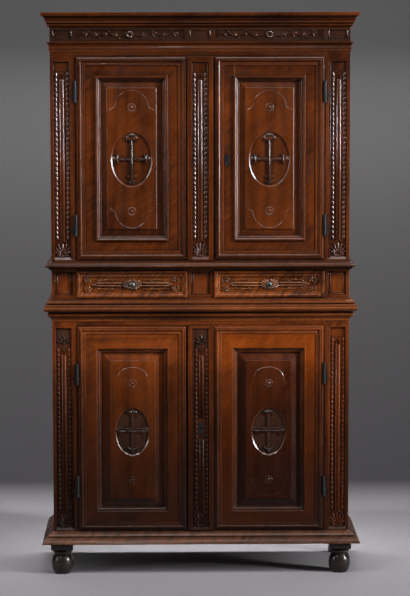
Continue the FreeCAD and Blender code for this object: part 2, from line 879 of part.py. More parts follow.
def hinge_socket(middle_z):
    """The upper hinge half, bored for the pin, with a wing let into the door's edge."""
    bottom_z = middle_z + hinge_running_gap / 2
    length = hinge_height / 2 - hinge_running_gap / 2
    foot = Vector(-hinge_axis_x, hinge_axis_y, bottom_z)
    barrel = forged_barrel(foot, length, hinge_radius)
    bore_radius = (hinge_pin_radius + hinge_running_gap) / math.cos(math.pi / forged_sides)
    bore = forged_barrel(foot, length - hinge_cap_thickness, bore_radius)
    return barrel.fuse(door_wing(middle_z)).cut(bore)


def door_wing(middle_z):
    """The thin wing of the door's hinge half, beside the edge of the left leaf."""
    inner_x = -hinge_axis_x + hinge_running_gap
    bottom_z = middle_z + hinge_running_gap / 2
    return block(
        (inner_x, inner_x + hinge_wing_thickness),
        (hinge_axis_y, face_y + hinge_wing_length),
        (bottom_z, bottom_z + hinge_wing_height),
    )


def hinge_pin(middle_z):
    """The lower hinge half on the left post: knuckle, pin, wing and cusped leaf."""
    length = hinge_height / 2 - hinge_running_gap / 2
    bottom_z = middle_z - hinge_height / 2
    foot = Vector(-hinge_axis_x, hinge_axis_y, bottom_z)
    knuckle = forged_barrel(foot, length, hinge_radius)
    pin_length = length - hinge_cap_thickness
    pin = Part.makeCylinder(hinge_pin_radius, pin_length, foot + UP * length)
    near_x = -hinge_axis_x - hinge_radius / 2
    leaf_outline = []
    for across, up in HINGE_LEAF_SHARES:
        leaf_x = near_x - across * hinge_leaf_width
        leaf_outline.append(Vector(leaf_x, face_y, middle_z - up * hinge_leaf_height))
    leaf = prism(leaf_outline, FRONT * hinge_leaf_thickness)
    return knuckle.fuse([pin, carcass_wing(middle_z), leaf])


# Locks and slip bolts. The lock is made on the free edge of the leaf that it rides on,
# whose edge lies on the left, so the right-hand leaves use it as it is.


def lock_places(sizes, has_pilaster):
    """The free edge of a right-hand leaf, and the keyhole's place on it."""
    _, free_x, _ = leaf_span(has_pilaster)
    edge_x = -free_x
    return edge_x, Vector(edge_x + lock_backset, face_y, sizes["keyhole_z"])


def lock_hollow_span(sizes, edge_x):
    """The box that the lock case fills, let into the back of the stile."""
    back = face_y + sizes["thickness"]
    bolt_z = sizes["keyhole_z"]
    return (
        (edge_x, edge_x + lock_width),
        (back - lock_case_depth, back),
        (bolt_z - lock_height / 2, bolt_z + lock_height / 2),
    )


def lock_bolt_span(sizes, edge_x, growth):
    """The bolt's box at rest, grown all round for the holes that it runs in."""
    back = face_y + sizes["thickness"]
    bolt_front = back - lock_case_depth + lock_wall + lock_play
    bolt_z = sizes["keyhole_z"] + lock_height / 2 - lock_wall - lock_play - lock_bolt_height
    return (
        (edge_x - growth, edge_x + lock_bolt_length + growth),
        (bolt_front - growth, bolt_front + lock_bolt_thickness + growth),
        (bolt_z - growth, bolt_z + lock_bolt_height + growth),
    )


def lock_case(sizes, edge_x):
    """A forged box round the bolt, open where the bolt comes out and at the keyhole."""
    x_span, y_span, z_span = lock_hollow_span(sizes, edge_x)
    case = block(x_span, y_span, z_span)
    room = block(
        (x_span[0] + lock_wall, x_span[1] - lock_wall),
        (y_span[0] + lock_wall, y_span[1] - lock_wall),
        (z_span[0] + lock_wall, z_span[1] - lock_wall),
    )
    bolt_x, bolt_y, bolt_z = lock_bolt_span(sizes, edge_x, lock_play)
    mouth = block((x_span[0] - overrun, x_span[0] + lock_wall + overrun), bolt_y, bolt_z)
    spot = Vector(edge_x + lock_backset, y_span[0], sizes["keyhole_z"])
    return case.cut([room, mouth, key_slot(spot, spot.y, lock_wall + overrun)])


def lock_bolt(sizes, edge_x):
    x_span, y_span, z_span = lock_bolt_span(sizes, edge_x, 0)
    return block(x_span, y_span, z_span)


def lock_mortise(sizes, edge_x):
    """The hole in the neighbouring leaf that the bolt shoots into."""
    _, y_span, z_span = lock_bolt_span(sizes, edge_x, lock_play)
    mouth_x = edge_x - meeting_gap
    depth = lock_bolt_travel - meeting_gap + lock_wall
    return block((mouth_x - depth, mouth_x + overrun), y_span, z_span)


def keyhole(spot, front_y, depth):
    """A round hole over a narrow slot, from a front plane backwards."""
    start = Vector(spot.x, front_y - overrun, spot.z)
    hole = Part.makeCylinder(keyhole_radius, depth + overrun, start, BACK)
    half = keyhole_slot_width / 2
    slot = block(
        (spot.x - half, spot.x + half),
        (front_y - overrun, front_y + depth),
        (spot.z - keyhole_slot_length, spot.z),
    )
    return hole.fuse(slot)


def key_slot(spot, front_y, depth):
    """The plain slot behind the keyhole, through wood or a lock's front wall."""
    half = key_slot_width / 2
    return block(
        (spot.x - half, spot.x + half),
        (front_y - overrun, front_y + depth),
        (spot.z - keyhole_slot_length, spot.z + half),
    )


def escutcheon(spot, front_y):
    """A pointed iron plate round the keyhole."""
    outline = []
    for across, up in ESCUTCHEON_SHARES:
        outline.append(spot + RIGHT * (across * escutcheon_width) + UP * (up * escutcheon_height))
    for corner in outline:
        corner.y = front_y
    plate = prism(outline, FRONT * escutcheon_thickness)
    return plate.cut(keyhole(spot, front_y - escutcheon_thickness, escutcheon_thickness + overrun))


def slip_bolt_places(sizes):
    """Top of the slip bolt at rest, and the plane that its back plate lies on."""
    top_z = sizes["z_span"][1] - slip_bolt_clearance
    plate_y = face_y + sizes["thickness"]
    return top_z, plate_y


def slip_bolt(sizes, middle_x):
    """A flat bolt with a small knob, behind the leaf that it keeps shut."""
    top_z, plate_y = slip_bolt_places(sizes)
    half = slip_bolt_width / 2
    front_y = plate_y + slip_plate_thickness + lock_play
    back_face_y = front_y + slip_bolt_thickness
    blade = block(
        (middle_x - half, middle_x + half), (front_y, back_face_y), (top_z - slip_bolt_length, top_z)
    )
    knob_half = slip_knob_size / 2
    knob_z = top_z - slip_bolt_length / 2
    knob = block(
        (middle_x - knob_half, middle_x + knob_half),
        (back_face_y, back_face_y + slip_knob_size),
        (knob_z - knob_half, knob_z + knob_half),
    )
    return blade.fuse(knob).removeSplitter()


def slip_bolt_hole(sizes, middle_x):
    """The hole in the head rail that the slip bolt rises into."""
    top_z, plate_y = slip_bolt_places(sizes)
    half = slip_bolt_width / 2 + lock_play
    front_y = plate_y + slip_plate_thickness
    rail_z = sizes["z_span"][1] + door_clearance
    rise = slip_bolt_travel - door_clearance + lock_wall
    return block(
        (middle_x - half, middle_x + half),
        (front_y, front_y + slip_bolt_thickness + lock_play * 2),
        (rail_z - overrun, rail_z + rise),
    )


def slip_bolt_guides(sizes, middle_x):
    """The back plate of the slip bolt, and the two staples that it slides in."""
    top_z, plate_y = slip_bolt_places(sizes)
    half = slip_plate_width / 2
    low_z = top_z - slip_bolt_length
    plate = block(
        (middle_x - half, middle_x + half), (plate_y, plate_y + slip_plate_thickness), (low_z, top_z)
    )
    front_y = plate_y + slip_plate_thickness
    channel_half = slip_bolt_width / 2 + lock_play
    channel_y = front_y + slip_bolt_thickness + lock_play * 2
    outer_half = channel_half + slip_staple_thickness
    pieces = []
    for staple_z in (top_z - slip_bolt_margin, low_z + slip_bolt_margin - slip_staple_height):
        z_span = (staple_z, staple_z + slip_staple_height)
        hoop = block(
            (middle_x - outer_half, middle_x + outer_half),
            (front_y, channel_y + slip_staple_thickness),
            z_span,
        )
        channel = block(
            (middle_x - channel_half, middle_x + channel_half),
            (front_y - overrun, channel_y),
            z_span,
        )
        pieces.append(hoop.cut(channel))
    return plate.fuse(pieces).removeSplitter()


def slip_bolt_x(sizes):
    """The slip bolt's place: behind the middle of the free stile of the left leaf."""
    (_, open_right), _ = door_opening(sizes, sizes["left_has_pilaster"])
    _, free_x, _ = leaf_span(sizes["left_has_pilaster"])
    return (open_right + free_x) / 2


def make_door(stage, side):
    """All the pieces of one door, in files named after it."""
    sizes = door_sizes(stage)
    has_pilaster = sizes["left_has_pilaster"] == (side == "left")
    name = stage + "_" + side + "_door"
    irons = [hinge_socket(z) for z in sizes["hinges"]]
    fittings = [door_wing(z) for z in sizes["hinges"]]
    partner_edge_x, _ = lock_places(sizes, not has_pilaster)
    panel = door_panel(sizes, has_pilaster)
    mouldings = door_mouldings(sizes, has_pilaster)
    front_y = face_y
    post = None
    if has_pilaster:
        post = pilaster(sizes)
        front_y = face_y - pilaster_thickness
    if side == "left":
        frame = door_frame(sizes, has_pilaster, fittings + [lock_mortise(sizes, partner_edge_x)])
        bolt_x = slip_bolt_x(sizes)
        irons.append(slip_bolt_guides(sizes, bolt_x))
        save(stage + "_slip_bolt", [slip_bolt(sizes, bolt_x)])
    else:
        edge_x, spot = lock_places(sizes, has_pilaster)
        hole = key_slot(spot, front_y, spot.y - front_y + sizes["thickness"])
        hollow = block(*lock_hollow_span(sizes, edge_x))
        frame = door_frame(sizes, has_pilaster, fittings + [mirrored(hole), mirrored(hollow)])
        frame = [mirrored(piece) for piece in frame]
        panel = [mirrored(piece) for piece in panel]
        mouldings = [mirrored(piece) for piece in mouldings]
        irons = [mirrored(piece) for piece in irons]
        if post:
            post = post.cut(hole)
        irons.append(escutcheon(spot, front_y if not post else front_y + pilaster_panel_depth))
        save(stage + "_lock_case", [lock_case(sizes, edge_x)])
        save(stage + "_lock_bolt", [lock_bolt(sizes, edge_x)])
    save(name + "_frame", frame)
    save(name + "_panel", panel)
    save(name + "_mouldings", mouldings)
    save(name + "_irons", irons)
    if post:
        save(stage + "_centre_pilaster", [post])


# Drawers. Each is made on the left and mirrored for the right.

drawer_left_x = -post_inner_x + drawer_clearance
drawer_right_x = -belt_post_width / 2 - drawer_clearance
drawer_bottom_z = belt_z + drawer_clearance
drawer_top_z = waist_z - drawer_clearance
box_bottom_z = drawer_bottom_z + runner_gap


def drawer_front():
    """The front board, with its mitred edge moulding."""
    x_span = (drawer_left_x, drawer_right_x)
    z_span = (drawer_bottom_z, drawer_top_z)
    board = block(x_span, (face_y, face_y + drawer_front_thickness), z_span)
    section = scaled(DRAWER_MOULDING_SHARES, drawer_moulding_width, drawer_moulding_height)
    return [board] + framed(section, x_span, z_span, face_y)


def drawer_box():
    """Two sides, a back and a bottom behind the front board."""
    left_x = drawer_left_x + drawer_side_inset
    right_x = drawer_right_x - drawer_side_inset
    front = face_y + drawer_front_thickness
    rear = boards_front_y - drawer_rear_clearance
    z_span = (box_bottom_z, box_bottom_z + drawer_side_height)
    inner_left = left_x + drawer_side_thickness
    inner_right = right_x - drawer_side_thickness
    bottom_z = box_bottom_z + drawer_bottom_lift
    sides = [
        block((left_x, inner_left), (front, rear), z_span),
        block((inner_right, right_x), (front, rear), z_span),
    ]
    back = block(
        (inner_left, inner_right),
        (rear - drawer_side_thickness, rear),
        (bottom_z + drawer_bottom_thickness, z_span[1]),
    )
    bottom = block((inner_left, inner_right), (front, rear), (bottom_z, bottom_z + drawer_bottom_thickness))
    return sides + [back, bottom]


def knob_middle():
    return Vector((drawer_left_x + drawer_right_x) / 2, face_y, (drawer_bottom_z + drawer_top_z) / 2)


def drawer_knob():
    """A small turned iron knob on a round rose."""
    neck_end = knob_rose_thickness + knob_neck_length
    outline = [
        (0, knob_rose_radius),
        (knob_rose_thickness, knob_rose_radius),
        (knob_rose_thickness, knob_neck_radius),
        (neck_end, knob_neck_radius),
        (neck_end + knob_head_rise, knob_radius),
        (neck_end + knob_head_length, knob_face_radius),
    ]
    return turned(outline, knob_middle(), FRONT, turned_sides)


def drawer_runners():
    """L-shaped runners beside the posts, and a double one behind the belt post."""
    front = face_y + rail_depth
    y_span = (front, boards_front_y)
    deck_z = belt_z - runner_height + drawer_clearance
    top_z = box_bottom_z - runner_gap
    box_left = drawer_left_x + drawer_side_inset
    box_right = drawer_right_x - drawer_side_inset
    outer_guide = box_left - drawer_side_play
    left_base = block((outer_guide - runner_width, outer_guide + runner_width), y_span, (deck_z, top_z))
    left_guide = block((outer_guide - runner_width, outer_guide), y_span, (top_z, top_z + guide_height))
    outer = left_base.fuse(left_guide).removeSplitter()
    corner_posts = [
        block((-body_half, -post_inner_x), (face_y, post_back_y), (deck_z, top_z + guide_height)),
        block((-body_half, -rear_inner_x), (rear_front_y, back_y), (deck_z, top_z + guide_height)),
    ]
    outer = outer.cut(corner_posts)
    guide_half = -box_right - drawer_side_play
    base_half = guide_half + runner_width
    middle_base = block((-base_half, base_half), y_span, (deck_z, top_z))
    middle_guide = block((-guide_half, guide_half), y_span, (top_z, top_z + guide_height))
    return both_sides(outer) + [middle_base.fuse(middle_guide).removeSplitter()]


def belt_post():
    """The short post between the drawers, with its sunk panel."""
    half = belt_post_width / 2
    post = block((-half, half), (face_y, face_y + rail_depth), (belt_z, waist_z))
    return post.cut(belt_pocket(0, half - belt_panel_margin))


def belt_pocket(middle_x, half_width):
    return block(
        (middle_x - half_width, middle_x + half_width),
        (face_y - overrun, face_y + post_panel_depth),
        (belt_z + belt_panel_margin, waist_z - belt_panel_head),
    )


def frieze_boards():
    """The box of the frieze, with a sunk panel over each post and over each door."""
    z_span = (frieze_z, cornice_z)
    inner_x = body_half - frieze_thickness
    front = block((-body_half, body_half), (face_y, face_y + frieze_thickness), z_span)
    post_half = front_post_width / 2
    pilaster_half = pilaster_width / 2
    margin = frieze_panel_margin
    spans = [(-pilaster_half + margin, pilaster_half - margin)]
    for low_x, high_x in ((-body_half, -post_inner_x), (-post_inner_x, -pilaster_half)):
        spans.append((low_x + margin, high_x - margin))
        spans.append((-high_x + margin, -low_x - margin))
    pockets = [
        block(
            span,
            (face_y - overrun, face_y + frieze_panel_depth),
            (frieze_z + margin, cornice_z - margin),
        )
        for span in spans
    ]
    side = block((-body_half, -inner_x), (face_y + frieze_thickness, back_y), z_span)
    rear = block((-inner_x, inner_x), (back_y - frieze_thickness, back_y), z_span)
    return [front.cut(pockets)] + both_sides(side) + [rear]


def cornice_strips():
    """The cornice, sitting on the outer part of the frieze boards."""
    section = scaled(CORNICE_SHARES, cornice_projection, cornice_height)
    section = [(-cornice_seat, 0, 0)] + section[1:-1] + [(-cornice_seat, cornice_height, 0)]
    return three_sided(section, cornice_z)


def write_lower_stage():
    plinth = scaled(PLINTH_SHARES, plinth_projection, plinth_height)
    save("front_feet", both_sides(front_foot()))
    save("plinth_moulding", three_sided(plinth, plinth_bottom_z))
    opening = (plinth_top_z, lower_head_z)
    posts = front_posts(plinth_bottom_z, top_board_z, opening, lower_panel_end, lower_hinges, [])
    save("lower_front_posts", posts)
    save("lower_rear_posts", rear_posts(0, top_board_z))
    panel_span = (plinth_top_z + side_rail_height, bed_z - side_rail_height)
    rails = side_frame(plinth_bottom_z, *panel_span, top_board_z)
    rails += [mirrored(rail) for rail in rails]
    rails.append(rear_rail(plinth_bottom_z, plinth_height - shelf_thickness))
    rails.append(rear_rail(top_board_z - rear_rail_height, rear_rail_height))
    save("lower_carcass_rails", rails)
    save("lower_side_panels", both_sides(side_panel(*panel_span)))
    save("lower_back_boards", back_boards(plinth_bottom_z, top_board_z))
    hole = slip_bolt_hole(door_sizes("lower"), slip_bolt_x(door_sizes("lower")))
    head = front_rail(lower_head_z, top_board_z).cut(hole)
    save("lower_front_rails", [front_rail(plinth_bottom_z, plinth_top_z), head])
    save("lower_floor_board", [inner_board(face_y + rail_depth, plinth_top_z - shelf_thickness, 0)])
    shelf_z = plinth_top_z + lower_opening_height * lower_shelf_height_share
    save("lower_shelf", [inner_board(post_back_y, shelf_z, shelf_play)] + cleats(shelf_z))
    save("bed_moulding", three_sided(scaled(BED_SHARES, bed_projection, bed_height), bed_z))
    save("top_board", [edge_moulded_board(top_board_z)])


def write_upper_stage():
    base = scaled(UPPER_BASE_SHARES, upper_base_projection, upper_base_height)
    save("upper_base_moulding", three_sided(base, upper_bottom_z))
    save("belt_post", [belt_post()])
    save("drawer_runners", drawer_runners())
    opening = (upper_opening_z, upper_head_z)
    half = front_post_width / 2 - belt_panel_margin
    pocket = belt_pocket(-body_half + front_post_width / 2, half)
    posts = front_posts(upper_bottom_z, frieze_z, opening, upper_panel_end, upper_hinges, [pocket])
    save("upper_front_posts", posts)
    save("upper_rear_posts", rear_posts(upper_bottom_z, frieze_z))
    hole = slip_bolt_hole(door_sizes("upper"), slip_bolt_x(door_sizes("upper")))
    head = front_rail(upper_head_z, frieze_z).cut(hole)
    rails = [front_rail(upper_bottom_z, belt_z), front_rail(waist_z, upper_opening_z), head]
    save("upper_front_rails", rails)
    save("waist_moulding", three_sided(scaled(WAIST_SHARES, waist_projection, waist_height), waist_z))
    floor_z = upper_opening_z - shelf_thickness
    save("upper_floor_board", [inner_board(face_y + rail_depth, floor_z, 0)])
    shelves = []
    for share in upper_shelf_height_shares:
        shelf_z = upper_opening_z + upper_opening_height * share
        shelves.append(inner_board(post_back_y, shelf_z, shelf_play))
        shelves += cleats(shelf_z)
    save("upper_shelves", shelves)
    panel_span = (upper_opening_z + side_rail_height, architrave_z - side_rail_height)
    rails = side_frame(upper_bottom_z, *panel_span, frieze_z)
    rails += [mirrored(rail) for rail in rails]
    rails.append(rear_rail(frieze_z - rear_rail_height, rear_rail_height))
    save("upper_carcass_rails", rails)
    save("upper_side_panels", both_sides(side_panel(*panel_span)))
    save("upper_back_boards", back_boards(upper_bottom_z, frieze_z))
    architrave = scaled(ARCHITRAVE_SHARES, architrave_projection, architrave_height)
    save("architrave_moulding", three_sided(architrave, architrave_z))
    save("frieze_boards", frieze_boards())
    save("cornice_moulding", cornice_strips())
    roof_x = body_half - cornice_seat
    roof_z_span = (cornice_z, cornice_z + roof_thickness)
    save("roof_board", [block((-roof_x, roof_x), (face_y + cornice_seat, back_y), roof_z_span)])
    pins = [hinge_pin(z) for z in lower_hinges + upper_hinges]
    save("hinge_pins", pins + [mirrored(pin) for pin in pins])


def write_drawers():
    left = {"front": drawer_front(), "box": drawer_box(), "knob": [drawer_knob()]}
    for piece, solids in left.items():
        save("left_drawer_" + piece, solids)
        save("right_drawer_" + piece, [mirrored(solid) for solid in solids])


write_lower_stage()
write_upper_stage()
for door_stage in ("upper", "lower"):
    for door_side in ("left", "right"):
        make_door(door_stage, door_side)
write_drawers()
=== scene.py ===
import math

import bmesh
import bpy
from mathutils import Matrix, Vector


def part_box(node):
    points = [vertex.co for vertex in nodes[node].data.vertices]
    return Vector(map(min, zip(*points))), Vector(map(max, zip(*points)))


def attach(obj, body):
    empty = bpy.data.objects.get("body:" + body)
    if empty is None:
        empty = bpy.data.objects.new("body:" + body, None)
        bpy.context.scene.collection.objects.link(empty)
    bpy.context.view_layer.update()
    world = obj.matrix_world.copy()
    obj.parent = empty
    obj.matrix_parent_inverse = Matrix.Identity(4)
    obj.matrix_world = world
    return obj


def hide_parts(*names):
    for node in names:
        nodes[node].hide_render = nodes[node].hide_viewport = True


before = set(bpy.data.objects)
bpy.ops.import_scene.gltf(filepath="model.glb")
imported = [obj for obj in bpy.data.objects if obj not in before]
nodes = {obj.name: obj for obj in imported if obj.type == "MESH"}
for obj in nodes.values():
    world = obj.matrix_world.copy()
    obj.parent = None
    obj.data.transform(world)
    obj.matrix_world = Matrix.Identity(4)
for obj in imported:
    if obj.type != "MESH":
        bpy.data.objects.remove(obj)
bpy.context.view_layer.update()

# The studio: the camera stands a little left of the middle at head height, before a pale floor that
# sweeps up into a grey wall. A tall strip and a high box light each side, a wide box hangs in the
# middle, and two narrow boxes behind the piece light the wall foot and the floor.
camera_place = (-0.1206, -9.184, 2.0736)
camera_turn = math.radians(0.877)
camera_tilt = math.radians(6.206)
camera_roll = math.radians(-0.103)
lens_length = 140.1

camera_data = bpy.data.cameras.new("camera")
camera_data.sensor_width = 36
camera_data.lens = lens_length
camera_data.clip_end = 60
camera = bpy.data.objects.new("camera", camera_data)
camera.matrix_world = (
    Matrix.Translation(camera_place)
    @ Matrix.Rotation(-camera_turn, 4, "Z")
    @ Matrix.Rotation(math.radians(90) - camera_tilt, 4, "X")
    @ Matrix.Rotation(camera_roll, 4, "Z")
)
bpy.context.scene.collection.objects.link(camera)
bpy.context.scene.camera = camera
bpy.context.scene.view_settings.view_transform = "Standard"


def soft_box(name, place, aim, width, height, power, spread=180):
    lamp = bpy.data.lights.new(name, "AREA")
    lamp.shape = "RECTANGLE"
    lamp.size = width
    lamp.size_y = height
    lamp.energy = power
    lamp.spread = math.radians(spread)
    box = bpy.data.objects.new(name, lamp)
    box.location = place
    direction = Vector(aim) - Vector(place)
    box.rotation_mode = "QUATERNION"
    box.rotation_quaternion = direction.to_track_quat("-Z", "Y")
    box.visible_camera = False
    bpy.context.scene.collection.objects.link(box)


soft_box("left_strip", (-4.7, -2.1, 2.7), (0, 0, 1.7), 0.3, 3.4, 19, 80)
soft_box("right_strip", (4.7, -2.1, 2.7), (0, 0, 1.7), 0.3, 3.4, 95, 60)
soft_box("high_left_box", (-2.7, -3.1, 4.8), (0, 0, 1.7), 1.2, 1.2, 145)
soft_box("high_right_box", (2.7, -3.1, 4.8), (0, 0, 1.7), 1.2, 1.2, 105)
soft_box("middle_box", (0, -2.6, 4.9), (0, 0, 1.0), 2.6, 0.8, 32, 110)
soft_box("wall_box", (0, 0.66, 2.1), (0, 0.56, 0), 3.4, 0.1, 35)
soft_box("floor_box", (0, 0.4, 0.9), (0, 0.25, 0), 1.3, 0.1, 6, 100)

world = bpy.data.worlds.new("studio")
world.use_nodes = True
world.node_tree.nodes["Background"].inputs["Color"].default_value = (0.5, 0.5, 0.52, 1)
world.node_tree.nodes["Background"].inputs["Strength"].default_value = 0.05
bpy.context.scene.world = world

wall_y = 1.15
wall_height = 7
floor_half = 12
floor_front = -14
sweep_radius = 0.12
paint_height = 3.0
floor_tone = (0.19, 0.18, 0.194, 1)
# The wall is a little darker at its top than at its foot: a painted falloff of light.
wall_foot_tone = (0.037, 0.0348, 0.0376, 1)
wall_top_tone = (0.033, 0.0318, 0.0326, 1)


def stage_sweep():
    """The floor, the quarter sweep and the wall in one sheet, facing the camera."""
    bm = bmesh.new()
    edge = [bm.verts.new((x, floor_front, 0)) for x in (-floor_half, floor_half)]
    front_edge = bm.edges.new(edge)
    run = bmesh.ops.extrude_edge_only(bm, edges=[front_edge])["geom"]
    far = [part for part in run if isinstance(part, bmesh.types.BMVert)]
    bmesh.ops.translate(bm, verts=far, vec=(0, wall_y - sweep_radius - floor_front, 0))
    far_edge = [part for part in run if isinstance(part, bmesh.types.BMEdge)]
    curve = bmesh.ops.spin(
        bm, geom=far + far_edge, cent=(0, wall_y - sweep_radius, sweep_radius), axis=(1, 0, 0),
        angle=math.radians(90), steps=12, use_merge=False, use_duplicate=False)["geom_last"]
    last_edge = [part for part in curve if isinstance(part, bmesh.types.BMEdge)]
    rise = bmesh.ops.extrude_edge_only(bm, edges=last_edge)["geom"]
    top = [part for part in rise if isinstance(part, bmesh.types.BMVert)]
    bmesh.ops.translate(bm, verts=top, vec=(0, 0, wall_height))
    bmesh.ops.recalc_face_normals(bm, faces=bm.faces)
    bm.faces.ensure_lookup_table()
    if bm.faces[0].normal.z < 0:
        bmesh.ops.reverse_faces(bm, faces=bm.faces)
    mesh = bpy.data.meshes.new("studio_sweep")
    bm.to_mesh(mesh)
    bm.free()
    for face in mesh.polygons:
        face.use_smooth = True
    sweep = bpy.data.objects.new("studio_sweep", mesh)
    bpy.context.scene.collection.objects.link(sweep)
    return sweep


def new_finish(name):
    """A material, with its tree, its shader and the place on the object."""
    made = bpy.data.materials.new(name)
    made.use_nodes = True
    tree = made.node_tree
    return made, tree, tree.nodes["Principled BSDF"], tree.nodes.new("ShaderNodeTexCoord").outputs["Object"]


def plug(tree, value, socket):
    """Links an output to the socket, or sets the socket to a plain value."""
    if hasattr(value, "is_output"):
        tree.links.new(value, socket)
    else:
        socket.default_value = value


def math_node(tree, operation, first, second=None, clamp=False):
    node = tree.nodes.new("ShaderNodeMath")
    node.operation = operation
    node.use_clamp = clamp
    plug(tree, first, node.inputs[0])
    if second is not None:
        plug(tree, second, node.inputs[1])
    return node.outputs[0]


def mix_node(tree, kind, share, first, second, blend="MIX"):
    node = tree.nodes.new("ShaderNodeMix")
    node.data_type = kind
    if kind == "RGBA":
        node.blend_type = blend
    sockets = {"VECTOR": (0, 4, 5, 1), "RGBA": (0, 6, 7, 2)}[kind]
    for number, value in zip(sockets, (share, first, second)):
        plug(tree, value, node.inputs[number])
    return node.outputs[sockets[3]]


def ranged(tree, value, low, high, to_low=0.0, to_high=1.0, smooth="LINEAR"):
    node = tree.nodes.new("ShaderNodeMapRange")
    node.interpolation_type = smooth
    tree.links.new(value, node.inputs["Value"])
    for name, number in (("From Min", low), ("From Max", high), ("To Min", to_low), ("To Max", to_high)):
        node.inputs[name].default_value = number
    return node.outputs[0]


def stage_paint():
    """Pale on the floor with painted shade darkening it towards the camera, grey on the wall with a slight
    painted falloff towards its top, and seen from the front only.
    """
    paint, tree, shader, place = new_finish("studio_paint")
    shader.inputs["Roughness"].default_value = 0.9
    parts = tree.nodes.new("ShaderNodeSeparateXYZ")
    tree.links.new(place, parts.inputs[0])
    ramp = tree.nodes.new("ShaderNodeValToRGB")
    tree.links.new(math_node(tree, "DIVIDE", parts.outputs["Z"], paint_height), ramp.inputs["Fac"])
    ramp.color_ramp.elements[0].color = floor_tone
    ramp.color_ramp.elements[1].position = 0.04
    ramp.color_ramp.elements[1].color = wall_foot_tone
    ramp.color_ramp.elements.new(0.8).color = wall_top_tone
    # Painted shade: the floor darkens towards the camera, down to 0.4 of its tone.
    front_floor_shade = ranged(tree, parts.outputs["Y"], -0.6, -1.5, 1.0, 0.4, "SMOOTHSTEP")
    color = mix_node(tree, "RGBA", 1.0, ramp.outputs["Color"], front_floor_shade, "MULTIPLY")
    tree.links.new(color, shader.inputs["Base Color"])
    back = tree.nodes.new("ShaderNodeNewGeometry")
    clear = tree.nodes.new("ShaderNodeBsdfTransparent")
    mix = tree.nodes.new("ShaderNodeMixShader")
    tree.links.new(back.outputs["Backfacing"], mix.inputs["Fac"])
    tree.links.new(shader.outputs[0], mix.inputs[1])
    tree.links.new(clear.outputs[0], mix.inputs[2])
    tree.links.new(mix.outputs[0], tree.nodes["Material Output"].inputs["Surface"])
    return paint


sweep = stage_sweep()
sweep.data.materials.append(stage_paint())

# The carcass is walnut, three centuries old and waxed: four posts joined by rails, with a
# straight grain that runs along each timber. Its wood, darkened by height partly for age and partly as
# painted shade, its dark wax with painted shade, and the way that the grain is laid are node groups,
# which every walnut piece below uses with values of its own.

cupboard_height = 2.2
# Tone of the wood by share of the height: partly age and partly painted shade, darkest near the floor and on
# the top rails under the cornice.
age_and_shade_by_height = (
    (0.0, 0.17), (0.15, 0.18), (0.24, 0.29), (0.36, 0.6), (0.43, 1.0), (0.5, 0.95), (0.53, 0.75),
    (0.56, 0.44), (0.62, 0.5), (0.84, 0.52), (0.92, 0.32), (1.0, 0.42),
)
pore_tone = (0.008, 0.003, 0.002, 1)
# The tone of dark wax in hollows, also used as painted shade in corners and round mouldings.
wax_and_shade_tone = (0.006, 0.003, 0.0025, 1)
worn_tint = (2.3, 2.5, 2.8, 1)


def new_group(name, inputs, outputs):
    group = bpy.data.node_groups.new(name, "ShaderNodeTree")
    kinds = {"float": "NodeSocketFloat", "vector": "NodeSocketVector", "color": "NodeSocketColor"}
    for socket, kind, value in inputs:
        made = group.interface.new_socket(name=socket, in_out="INPUT", socket_type=kinds[kind])
        if value is not None:
            made.default_value = value
    for socket, kind in outputs:
        group.interface.new_socket(name=socket, in_out="OUTPUT", socket_type=kinds[kind])
    return group, group.nodes.new("NodeGroupInput").outputs, group.nodes.new("NodeGroupOutput").inputs


def noise_node(tree, place, scale, detail=2.0, roughness=0.5):
    node = tree.nodes.new("ShaderNodeTexNoise")
    node.inputs["Scale"].default_value = scale
    node.inputs["Detail"].default_value = detail
    node.inputs["Roughness"].default_value = roughness
    tree.links.new(place, node.inputs["Vector"])
    return node.outputs["Fac"]


def stretched(tree, place, scale):
    node = tree.nodes.new("ShaderNodeMapping")
    node.inputs["Scale"].default_value = scale
    tree.links.new(place, node.inputs["Vector"])
    return node.outputs[0]


def weighted_sum(tree, total, *parts):
    """Adds each value times its weight to the total."""
    for value, weight in parts:
        total = math_node(tree, "ADD", total, math_node(tree, "MULTIPLY", value, weight))
    return total


